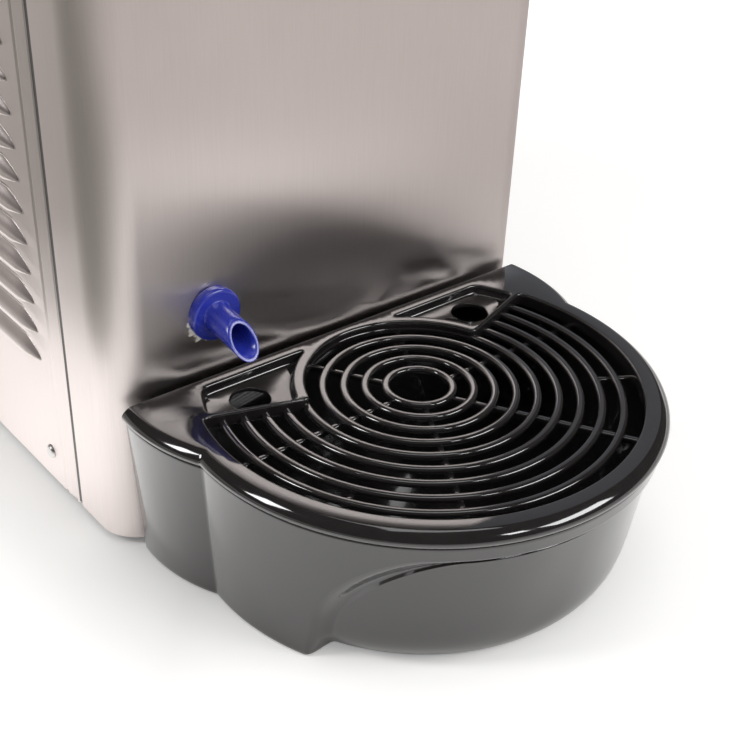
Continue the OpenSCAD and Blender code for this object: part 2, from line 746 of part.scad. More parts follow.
module suction_pipe() {
  color("#b87333") seat() pipe([
    [-coil_r + coil_tube_r, coil_front_y, axis_z], [-return_x, coil_front_y, axis_z],
      [-return_x, pipe_y, axis_z],
    [-pipe_x, pipe_y, axis_z], [-pipe_x, pipe_y, under_deck_z], [-20, comp_y, under_deck_z],
    [-20, comp_y, comp_low + comp_h]
  ], liquid_r);
}

// Controls on the front, beside the tap
control_z = 320;
control_hole = 22;
knob_inset = 41;
knob_gap = 28;
switch_pitch = 26;
knob_x = cab_w / 2 - knob_inset;
control_xs = [knob_x - knob_gap - switch_pitch, knob_x - knob_gap];
plate_edge = 18;
plate_h = 44;
plate_out = 2.5;
rocker_w = 13;
rocker_r = 8;
rocker_pin_r = 1.5;
rocker_y = 1.5;
rocker_tilt = 8;
rocker_cut = 2 * (rocker_r + slip);
stat_neck_r = 5;
stat_spindle_r = 3;
module control_plate() {
  color("#1d1d1f") seat() difference() {
    translate([control_xs[0] - plate_edge, -plate_out, control_z - plate_h / 2])
      cube([knob_x - control_xs[0] + 2 * plate_edge, plate_out, plate_h]);
    for (x = control_xs) translate([x - rocker_w / 2 - slip, -plate_out - 1,
      control_z - rocker_cut / 2])
      cube([rocker_w + 2 * slip, plate_out + 2, rocker_cut]);
    translate([knob_x, -plate_out - 1, control_z]) rotate([-90, 0, 0])
      cylinder(h = plate_out + 2, r = stat_spindle_r + hole_fit);
  }
}
module switch_housings() {
  out = control_hole - 2 * hole_fit;
  color("#101010") seat() for (x = control_xs) translate([x, 0, control_z]) difference() {
    translate([-out / 2, 0, -out / 2]) cube([out, 16, out]);
    translate([-rocker_w / 2 - slip, -1, -rocker_cut / 2]) cube([rocker_w + 2 * slip, 14, rocker_cut]);
    translate([-rocker_w / 2 - 2.5, rocker_y, 0]) rotate([0, 90, 0])
      cylinder(h = rocker_w + 5, r = rocker_pin_r + run_fit);
  }
}
module rocker(x) {
  seat() translate([x, rocker_y, control_z]) {
    rotate([-rocker_tilt, 0, 0]) rotate([90, 0, 90]) translate([0, 0, -rocker_w / 2])
      linear_extrude(rocker_w)
      polygon([[0, -rocker_r + 0.2], [-6.5, -4.5], [-4.4, 0], [-6.5, 4.5], [0, rocker_r - 0.2], [5, 6],
        [5, -6]]);
    translate([-rocker_w / 2 - 2, 0, 0]) rotate([0, 90, 0])
      cylinder(h = rocker_w + 4, r = rocker_pin_r);
  }
}
module mixer_switch() {
  color("#c0392b") rocker(control_xs[0]);
}
module cooling_switch() {
  color("#2e7d4f") rocker(control_xs[1]);
}
module thermostat() {
  color("#d8d4c8") seat() translate([knob_x, sheet, control_z]) {
    translate([-14, 0, -14]) cube([28, 24, 28]);
    rotate([90, 0, 0]) cylinder(h = sheet, r = stat_neck_r);
    rotate([90, 0, 0]) cylinder(h = sheet + plate_out + 10, r = stat_spindle_r);
  }
}
module thermostat_knob() {
  color("#202022") seat() translate([knob_x, -plate_out - slip, control_z]) rotate([90, 0, 0])
    difference() {
    union() {
      cylinder(h = 4, r = 13);
      translate([0, 0, 4 - eps]) cylinder(h = 11, r1 = 11, r2 = 10);
      translate([-1, 4, 15 - 0.5]) cube([2, 5.5, 1.2]);
    }
    translate([0, 0, -1]) cylinder(h = 12, r = stat_spindle_r + run_fit);
  }
}

// Drain spout
flange_t = 6;
nut_t = 6;
tail_len = 26;
mouth_slant = 48;
module drain_spout() {
  flange_r = spout_flange_d / 2;
  lip = spout_d / 2 * tan(mouth_slant);
  color("#1f2f9f") seat() translate([spout_x, 0, spout_z]) difference() {
    union() {
      rotate([90, 0, 0]) cylinder(h = flange_t - 2, r = flange_r);
      translate([0, -flange_t + 2 + eps, 0]) rotate([90, 0, 0])
        cylinder(h = 4, r1 = flange_r, r2 = flange_r - 4);
      rotate([-90, 0, 0]) cylinder(h = tail_len, r = spout_tail_r);
      translate([0, -1, 0]) rotate([90 + spout_tilt, 0, 0])
        cylinder(h = spout_len + lip, r = spout_d / 2);
    }
    translate([0, -4, 0]) rotate([-90, 0, 0]) cylinder(h = tail_len + 5, r = tail_bore_r);
    translate([0, -1, 0]) rotate([90 + spout_tilt, 0, 0])
      cylinder(h = spout_len + lip + 1, r = spout_bore_r);
    // Slanted mouth, with the longer lip below
    translate([0, -1, 0]) rotate([90 + spout_tilt, 0, 0]) translate([0, 0, spout_len])
      rotate([-mouth_slant, 0, 0])
      translate([-20, -40, 0]) cube([40, 80, 30]);
  }
}
module spout_nut() {
  color("#2b3aa8") seat() translate([spout_x, sheet, spout_z]) rotate([-90, 0, 0]) difference() {
    cylinder(h = nut_t, r = spout_tail_r + 5, $fn = 6);
    translate([0, 0, -1]) cylinder(h = nut_t + 2, r = spout_tail_r + hole_fit / 4);
  }
}
elbow_swell = 0.6;
module drain_hose() {
  bore = spout_tail_r + hole_fit / 2;
  wall_r = bore + hose_wall;
  y0 = sheet + nut_t + 2;
  top = cab_top - 5;
  color("#9fb4bd") seat() translate([spout_x, nipple_y, spout_z]) difference() {
    union() {
      cylinder(h = top - spout_z, r = wall_r);
      rotate([90, 0, 0]) cylinder(h = nipple_y - y0, r = wall_r);
      sphere(wall_r + elbow_swell);
    }
    cylinder(h = top - spout_z + 1, r = bore);
    rotate([90, 0, 0]) cylinder(h = nipple_y - y0 + 1, r = bore);
    sphere(bore + elbow_swell);
  }
}

// Drip tray: a big circle and two rear lobes, cut straight at the back
module at_grid() {
  seat() translate([0, grid_y, 0]) children();
}
module cut_behind(back) {
  big = 2 * rim_outer_r;
  intersection() {
    union() children();
    translate([-big, back - 2 * big, -1]) cube([2 * big, 2 * big, big]);
  }
}
module tray_solid(h, main0, main1, lobe0, lobe1, back) {
  cut_behind(back) {
    cylinder(h = h, r1 = main0, r2 = main1, $fn = 128);
    for (s = [-1, 1]) translate([s * lobe_x, lobe_y, 0])
      cylinder(h = h, r1 = lobe0, r2 = lobe1, $fn = 128);
  }
}
basin_main_r = rim_outer_r - basin_inset;
basin_lobe_r = lobe_r - basin_inset;
basin_back = tray_back - 1;
function basin_r(z) = basin_foot_r + basin_draft * z / basin_top;
module recess_cut() {
  // Wide arch in the front of the basin, seen along Y
  translate([0, recess_y, 0]) rotate([90, 0, 0]) linear_extrude(rim_outer_r) {
    translate([-recess_half_w, -1]) square([2 * recess_half_w, recess_top - recess_round + 1]);
    translate([-recess_half_w + recess_round, -1])
      square([2 * (recess_half_w - recess_round), recess_top + 1]);
    for (s = [-1, 1]) translate([s * (recess_half_w - recess_round), recess_top - recess_round])
      circle(recess_round, $fn = 128);
  }
}
module drip_basin() {
  color("#3b3a3b") at_grid() difference() {
    union() {
      difference() {
        tray_solid(basin_top, basin_foot_r, basin_main_r, basin_lobe_r - basin_draft, basin_lobe_r,
          basin_back);
        recess_cut();
      }
      // The recessed wall leans out from its foot to a heel, then stands almost upright
      cut_behind(basin_back) {
        cylinder(h = recess_heel_h + eps, r1 = recess_foot_r, r2 = recess_heel_r, $fn = 128);
        translate([0, 0, recess_heel_h])
          cylinder(h = recess_top + 1 - recess_heel_h, r1 = recess_heel_r,
            r2 = basin_r(recess_top) - 2, $fn = 128);
      }
    }
    translate([0, 0, basin_floor])
      tray_solid(basin_top, recess_foot_r - basin_wall,
                 (basin_main_r - basin_wall) + (basin_main_r - recess_foot_r) * basin_floor / basin_top,
                 basin_lobe_r - basin_draft - basin_wall, basin_lobe_r - basin_wall,
                 basin_back - basin_wall);
  }
}

ring_h = ring_top - basin_top;
module pocket_outline() {
  outer = rim_inner_r - 3;
  inner = collar_r + 4;
  back = tray_back - pocket_margin - 1.5;
  intersection() {
    difference() {
      circle(outer, $fn = 128);
      circle(inner, $fn = 128);
    }
    polygon([[inner / 2, 11], [outer, 36], [outer, back], [inner / 2, back]]);
  }
}
module both_sides() {
  children();
  mirror([1, 0, 0]) children();
}
module grid_opening() {
  far = 2 * rim_outer_r;
  difference() {
    circle(rim_inner_r, $fn = 128);
    polygon([[0, 0], [far, far * tan(plate_angle)], [far, 2 * far], [-far, 2 * far],
      [-far, far * tan(plate_angle)]]);
  }
  circle(collar_r - ring_bar / 2, $fn = 96);
}
// Lines of the rings and spokes, seen from above
module ring_line(k) {
  difference() {
    circle((k + first_ring) * ring_pitch + ring_bar / 2, $fn = 96);
    circle((k + first_ring) * ring_pitch - ring_bar / 2, $fn = 96);
  }
}
module spoke_line(angle, from, to) {
  rotate(angle) translate([from, -spoke_w / 2]) square([to - from, spoke_w]);
}
seam = 2;
module ring_lines() {
  far = 2 * rim_outer_r;
  side = far * tan(plate_angle) + seam;
  for (k = [1 : full_rings + 1]) ring_line(k);
  difference() {
    for (k = [full_rings + 2 : ring_count]) ring_line(k);
    polygon([[0, seam], [far, side], [far, 2 * far], [-far, 2 * far], [-far, side]]);
  }
}
module spoke_lines() {
  first = (1 + first_ring) * ring_pitch;
  for (a = [0, 180, 240, 300]) spoke_line(a, first, rim_inner_r + seam);
  for (a = [60, 120]) spoke_line(a, first, collar_r);
  for (a = [-30, -150]) spoke_line(a, (ring_count - 1 + first_ring) * ring_pitch, rim_inner_r + seam);
}
module grid_frame() {
  difference() {
    translate([0, 0, basin_top])
      tray_solid(rim_h, rim_outer_r, rim_outer_r - rim_slope, lobe_r, lobe_r - rim_slope, tray_back);
    translate([0, 0, basin_top - 1]) linear_extrude(rim_h + 2) grid_opening();
    both_sides() translate([0, 0, rim_top - pocket_depth])
      linear_extrude(pocket_depth + 1) pocket_outline();
    for (s = [-1, 1]) translate([s * finger_x, finger_y, basin_top - 1])
      cylinder(h = rim_h + 2, r = finger_d / 2);
  }
}
module drip_grid() {
  color("#1a1b1d") at_grid() {
    grid_frame();
    translate([0, 0, ring_top - ring_h]) linear_extrude(ring_h) ring_lines();
    translate([0, 0, spoke_top - spoke_h]) linear_extrude(spoke_h) spoke_lines();
  }
}

// Bowl: a trough with a round bottom, open at the top and, round the auger, at the back
bowl_back = tower_y - 2;
bowl_len = bowl_back + bowl_over;
rim_lip = 5;
tap_forward = 3;
tap_y = grid_y - tap_forward;
port_r = 9;
port_z = axis_z - bowl_r + port_r + 1;
spigot_r = port_r + 6;
spigot_len = 16;
module trough(r, up) {
  circle(r, $fn = 128);
  translate([-r, 0]) square([2 * r, up]);
}
module bowl() {
  outer_r = bowl_r + bowl_wall;
  rail_x = 45;
  rail_w = 6;
  color([0.85, 0.92, 0.95, 0.45]) difference() {
    union() {
      on_axis(-bowl_over) linear_extrude(bowl_len) trough(outer_r, bowl_rise);
      seat() translate([-outer_r - rim_lip, -bowl_over - rim_lip, bowl_rim - bowl_wall])
        cube([2 * (outer_r + rim_lip), bowl_len + rim_lip, bowl_wall]);
      seat() for (s = [-1, 1]) translate([s * rail_x - rail_w / 2, corner_r, deck_top])
        cube([rail_w, tower_y - 2 * corner_r, bowl_lift + bowl_wall + bowl_r - sqrt(pow(outer_r,
          2) - pow(rail_x + rail_w, 2)) + 2.5]);
      seat() translate([0, -bowl_over + eps, port_z]) rotate([90, 0, 0])
        cylinder(h = spigot_len, r = spigot_r);
    }
    on_axis(-bowl_over + bowl_wall) linear_extrude(bowl_len - 2 * bowl_wall) trough(bowl_r, bowl_rise +
      1);
    on_axis(0) cylinder(h = bowl_len + 10, r = bowl_r, $fn = 128);
    seat() translate([0, 0, port_z]) rotate([90, 0, 0])
      cylinder(h = bowl_over + spigot_len + 5, r = port_r);
  }
}
lid_h = 14;
lid_wall = 3;
module bowl_lid() {
  half = bowl_r + bowl_wall + rim_lip;
  front = -bowl_over - rim_lip;
  depth = bowl_back - front;
  inset = 14;
  lip = bowl_r - 1;
  color([0.16, 0.16, 0.17]) seat() difference() {
    union() {
      translate([-half, front, bowl_rim]) cube([2 * half, depth, lid_wall]);
      translate([-half + inset, front + inset, bowl_rim])
        cube([2 * (half - inset), depth - 2 * inset, lid_h]);
      translate([-lip, -bowl_over + bowl_wall + 1, bowl_rim - 6])
        cube([2 * lip, bowl_len - 2 * bowl_wall - 2, 6 + eps]);
    }
    translate([-half + inset + lid_wall, front + inset + lid_wall, bowl_rim - 10])
      cube([2 * (half - inset - lid_wall), depth - 2 * (inset + lid_wall), lid_h + 10 - lid_wall]);
  }
}
lid_knob_r = 16;
module lid_knob() {
  color("#1f1f21") seat() translate([0, bowl_len / 2 - bowl_over, bowl_rim + lid_h]) {
    cylinder(h = 8, r = 9);
    translate([0, 0, 8 - eps]) cylinder(h = 5, r1 = 9, r2 = lid_knob_r);
    translate([0, 0, 13 - 2 * eps]) cylinder(h = 6, r = lid_knob_r);
  }
}

// Tap: a piston in a barrel, lifted by a forked lever
bore_r = barrel_bore / 2;
barrel_r = bore_r + barrel_wall;
piston_low = port_z - port_r - 3;
piston_top = port_z + port_r + 9;
spring_room = 40;
barrel_top = piston_top + spring_room;
cap_t = 5;
cap_skirt = 8;
rod_r = 4;
head_r = 7;
head_t = 4;
lever_t = 7;
lever_z = barrel_top + cap_t + 6;
pivot_back = 24;
pivot_y = tap_y + pivot_back;
pin_r = 3;
ear_w = 6;
knuckle_w = 24;
pad_forward = 3;
grip_y = tap_y - 33;
grip_drop = 100;
module tap_body() {
  ear_x = knuckle_w / 2 + slip;
  web_y = pivot_y + 5.5;
  color([0.9, 0.93, 0.95]) seat() difference() {
    union() {
      translate([0, tap_y, outlet_z]) cylinder(h = barrel_top - outlet_z, r = barrel_r);
      translate([0, -bowl_over - 1, port_z]) rotate([90, 0, 0])
        cylinder(h = -tap_y - bowl_over - 1, r = spigot_r + 4);
      translate([-ear_x - ear_w, tap_y, port_z]) cube([2 * (ear_x + ear_w), web_y - tap_y,
        barrel_top - cap_skirt - 2 - port_z]);
      for (s = [-1, 1]) translate([s * (ear_x + ear_w / 2) - ear_w / 2, pivot_y - 5.5, port_z])
        cube([ear_w, 11, lever_z + 7 - port_z]);
    }
    translate([0, tap_y, outlet_z - 1]) cylinder(h = barrel_top - outlet_z + 2, r = bore_r);
    translate([0, -bowl_over + 5, port_z]) rotate([90, 0, 0])
      cylinder(h = spigot_len + 5 + hole_fit, r = spigot_r + hole_fit);
    translate([0, 0, port_z]) rotate([90, 0, 0]) cylinder(h = -tap_y, r = port_r);
    translate([-50, pivot_y, lever_z]) rotate([0, 90, 0]) cylinder(h = 100, r = pin_r + run_fit);
  }
}
module tap_cap() {
  color("#1f4fa8") seat() translate([0, tap_y, barrel_top]) difference() {
    translate([0, 0, -cap_skirt]) cylinder(h = cap_skirt + cap_t, r = barrel_r + 3);
    translate([0, 0, -cap_skirt - 1]) cylinder(h = cap_skirt + 1, r = barrel_r + hole_fit / 2);
    cylinder(h = cap_t + 1, r = rod_r + slip);
  }
}
seal_h = 3;
seal_depth = 2.4;
piston_r = bore_r - 0.6;
seal_places = [piston_low + 3, piston_top - 3 - seal_h];
head_z = lever_z + lever_t / 2 + slip;
module tap_piston() {
  color("#efefef") seat() translate([0, tap_y, 0]) difference() {
    union() {
      translate([0, 0, piston_low]) cylinder(h = piston_top - piston_low, r = piston_r);
      translate([0, 0, piston_top - eps]) cylinder(h = head_z - piston_top + 2 * eps, r = rod_r);
      translate([0, 0, head_z]) cylinder(h = head_t, r = head_r);
    }
    for (z = seal_places) translate([0, 0, z]) difference() {
      cylinder(h = seal_h, r = piston_r + 1);
      translate([0, 0, -1]) cylinder(h = seal_h + 2, r = bore_r - seal_depth);
    }
  }
}
module piston_seals() {
  color("#222222") seat() for (z = seal_places) translate([0, tap_y, z]) difference() {
    cylinder(h = seal_h, r = bore_r - run_fit);
    translate([0, 0, -1]) cylinder(h = seal_h + 2, r = bore_r - seal_depth);
  }
}
spring_wire_r = 0.8;
spring_turns = 6;
spring_r = rod_r + 3.5;
spring_line = helix(spring_r, spring_room - 2 * spring_wire_r - 0.6, spring_turns, 8);
module tap_spring() {
  color("#c0c4c8") seat() translate([0, tap_y, piston_top + spring_wire_r + 0.3])
    swept_tube(spring_line, spring_wire_r, 6, [0, 0, 1]);
}
echo(coil_gap = loop_gap(coil_loops, coil_tube_r, 24),
  spring_gap = loop_gap(spring_line, spring_wire_r, 8));
module lever_pin() {
  half = knuckle_w / 2 + slip + ear_w + 1.5;
  color("#b5b8bb") seat() translate([-half, pivot_y, lever_z]) rotate([0, 90, 0]) {
    cylinder(h = 2 * half, r = pin_r);
    cylinder(h = 1.5, r = pin_r + 2);
    translate([0, 0, 2 * half - 1.5]) cylinder(h = 1.5, r = pin_r + 2);
  }
}
module tap_lever() {
  // The fork's arms pass beside the piston's head, and their pads lift it from below
  arm_x = head_r + 0.5;
  arm_w = knuckle_w / 2 - arm_x;
  pad_x = rod_r + 0.6;
  color("#202022") seat() difference() {
    union() {
      translate([-knuckle_w / 2, pivot_y, lever_z]) rotate([0, 90, 0])
        cylinder(h = knuckle_w, r = lever_t / 2 + 3);
      for (s = [-1, 1]) {
        translate([s * (arm_x + arm_w / 2) - arm_w / 2, grip_y, lever_z - lever_t / 2])
          cube([arm_w, pivot_y - grip_y, lever_t]);
        translate([s * (pad_x + arm_x) / 2, tap_y - pad_forward, lever_z]) rotate([0, 90, 0])
          cylinder(h = arm_x - pad_x + 1, r = lever_t / 2, center = true);
      }
      translate([-knuckle_w / 2, grip_y, lever_z]) rotate([0, 90, 0])
        cylinder(h = knuckle_w, r = lever_t / 2);
      hull() {
        translate([-knuckle_w / 2, grip_y, lever_z]) rotate([0, 90, 0])
          cylinder(h = knuckle_w, r = lever_t / 2, $fn = 24);
        translate([-13, grip_y - 14, lever_z - grip_drop]) rotate([0, 90, 0])
          cylinder(h = 26, r = 6, $fn = 24);
      }
    }
    translate([-50, pivot_y, lever_z]) rotate([0, 90, 0]) cylinder(h = 100, r = pin_r + run_fit);
  }
}

base_pan();
feet();
front_panel();
side_panel_left();
side_panel_right();
rear_panel();
panel_screws();
top_deck();
bulkhead();
tower_cover();
bowl_gasket();
evaporator_drum();
evaporator_coil();
shaft_bushes();
gearbox_case();
gearbox_cover();
drive_motor();
motor_pinion();
drive_gear();
auger_shaft();
auger_spiral();
auger_hub();
auger_nut();
compressor();
compressor_grommets();
condenser();
fan_shroud();
fan_bracket();
fan_motor();
fan_blades();
filter_drier();
discharge_pipe();
liquid_pipe();
suction_pipe();
control_plate();
switch_housings();
mixer_switch();
cooling_switch();
thermostat();
thermostat_knob();
power_inlet();
drain_spout();
spout_nut();
drain_hose();
drip_basin();
drip_grid();
bowl();
bowl_lid();
lid_knob();
tap_body();
tap_cap();
tap_piston();
piston_seals();
tap_spring();
tap_lever();
lever_pin();
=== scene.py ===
import json
import math

import bmesh
import bpy
from mathutils import Matrix, Vector, geometry


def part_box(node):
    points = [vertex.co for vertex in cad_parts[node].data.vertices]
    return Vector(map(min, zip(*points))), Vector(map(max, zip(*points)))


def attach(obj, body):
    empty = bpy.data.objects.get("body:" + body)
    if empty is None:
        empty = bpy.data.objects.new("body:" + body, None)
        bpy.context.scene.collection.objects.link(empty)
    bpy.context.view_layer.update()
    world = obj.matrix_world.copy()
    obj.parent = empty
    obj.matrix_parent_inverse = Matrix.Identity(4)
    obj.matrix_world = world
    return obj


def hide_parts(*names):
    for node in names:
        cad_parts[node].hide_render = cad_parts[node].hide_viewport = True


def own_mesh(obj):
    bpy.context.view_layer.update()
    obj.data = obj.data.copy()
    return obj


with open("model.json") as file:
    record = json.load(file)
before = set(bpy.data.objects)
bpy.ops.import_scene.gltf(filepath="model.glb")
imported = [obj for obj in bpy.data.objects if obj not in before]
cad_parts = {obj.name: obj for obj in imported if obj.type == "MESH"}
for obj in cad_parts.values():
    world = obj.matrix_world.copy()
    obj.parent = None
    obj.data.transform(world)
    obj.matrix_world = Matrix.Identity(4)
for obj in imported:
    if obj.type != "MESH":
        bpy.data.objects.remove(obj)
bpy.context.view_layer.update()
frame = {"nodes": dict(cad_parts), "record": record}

bl_info = {
    "name": "Slush machine",
    "version": (1, 0, 0),
    "blender": (4, 5, 0),
    "location": "View3D > Sidebar > Slush machine",
    "description": "Dresses the packed slush machine with its sheet metal, mouldings and finishes",
    "category": "Object",
}

MM = 0.001
# Points closer than this are one, and edges bent more than this many degrees are sharp
WELD, SHARP = 1e-6, 32
# The front panel's plane, in the row frame, and the middle of the drip grid, 62 mm before it
FRONT_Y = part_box("front_panel")[0][1]
GRID_Y = FRONT_Y - 62 * MM


def length(label, words, size):
    """A length that the user may change, in millimetres here and in metres in Blender"""
    return bpy.props.FloatProperty(name=label, description=words, default=size * MM, unit="LENGTH")


def hex_colour(label, words, code):
    """A colour that the user may change, as sRGB hex"""
    return bpy.props.StringProperty(name=label, description=words, default=code)


class MachineSizes(bpy.types.PropertyGroup):
    """Sizes of the dressed pieces"""

    ring_pitch: length("Ring pitch", "Distance between neighbouring rings of the grid", 10)
    ring_bar: length("Ring bar", "Width of one ring", 3.2)
    ring_height: length("Ring height", "Height of one ring's bar", 4)
    louvre_pitch: length("Louvre pitch", "Distance between louvres", 15.5)
    louvre_rows: bpy.props.IntProperty(
        name="Louvre rows", description="Rows of louvres on a side", default=13, min=1)
    louvre_length: length("Louvre length", "Length of one louvre", 190)
    louvre_out: length("Louvre depth", "How far a louvre stands out", 3)
    edge_round: length("Edge rounding", "Rounding of moulded edges", 0.6)


class MachineColours(bpy.types.PropertyGroup):
    """Colours of the finishes, as sRGB hex"""

    steel: hex_colour("Steel", "Brushed stainless steel", "#DED5D2")
    black: hex_colour("Tray black", "Gloss black ABS of the tray", "#1B1919")
    blue: hex_colour("Spout blue", "Blue polyethylene", "#2B37A8")
    floor: hex_colour("Floor", "Pale studio floor", "#F4F3F1")


def linear(code):
    """A hex colour in sRGB as linear RGBA"""
    parts = [int(code[i:i + 2], 16) / 255 for i in (1, 3, 5)]
    return [p / 12.92 if p <= 0.04045 else ((p + 0.055) / 1.055) ** 2.4 for p in parts] + [1]


def add(tree, kind, inputs=None, **settings):
    """A node with its settings, its values and its links. A node as a value stands for its first output."""
    made = tree.nodes.new(kind)
    for key, value in settings.items():
        setattr(made, key, value)
    for key, value in (inputs or {}).items():
        if isinstance(value, bpy.types.Node):
            value = value.outputs[0]
        if isinstance(value, bpy.types.NodeSocket):
            tree.links.new(value, made.inputs[key])
        else:
            made.inputs[key].default_value = value
    return made


def new_material(name):
    """A material without nodes, and its tree"""
    made = bpy.data.materials.new(name)
    made.use_nodes = True
    made.node_tree.nodes.clear()
    return made, made.node_tree


def link(obj):
    """Puts an object in the scene"""
    bpy.context.scene.collection.objects.link(obj)


def finish(name, light, dark, rough, speck_mm, bump_mm, cloud_mm, stretch=(1, 1, 1), **surface):
    """A finish with two close tones, an uneven gloss and a fine relief. Speck, relief and cloud are real
    sizes, and stretch draws the speck out into a grain. Surface sets the shader's other values."""
    made, tree = new_material(name)
    place = add(tree, "ShaderNodeTexCoord").outputs["Object"]
    drawn = add(tree, "ShaderNodeMapping", {"Vector": place, "Scale": stretch})
    grain = add(tree, "ShaderNodeTexNoise", {
        "Vector": drawn, "Scale": 1 / (speck_mm * MM), "Detail": 3.0, "Roughness": 0.55}).outputs["Fac"]
    cloud = add(tree, "ShaderNodeTexNoise", {
        "Vector": place, "Scale": 1 / (cloud_mm * MM), "Detail": 2.0}).outputs["Fac"]
    both = add(tree, "ShaderNodeMath", {0: grain, 1: cloud}, operation="ADD")
    # Both noises together seldom leave this range
    span = {"Value": both, "From Min": 0.7, "From Max": 1.3}
    tone = add(tree, "ShaderNodeMapRange", span)
    colour = add(tree, "ShaderNodeMix", {
        "Factor": tone, "A": linear(light), "B": linear(dark)}, data_type="RGBA")
    gloss = add(tree, "ShaderNodeMapRange", {**span, "To Min": rough[0], "To Max": rough[1]})
    relief = add(tree, "ShaderNodeBump", {"Height": grain, "Strength": 1.0, "Distance": bump_mm * MM})
    shader = add(tree, "ShaderNodeBsdfPrincipled", {
        "Base Color": colour.outputs["Result"], "Roughness": gloss, "Normal": relief, **surface})
    if "Anisotropic" in surface:
        around = add(tree, "ShaderNodeTangent", direction_type="RADIAL", axis="Z")
        tree.links.new(around.outputs["Tangent"], shader.inputs["Tangent"])
    add(tree, "ShaderNodeOutputMaterial", {"Surface": shader})
    return made


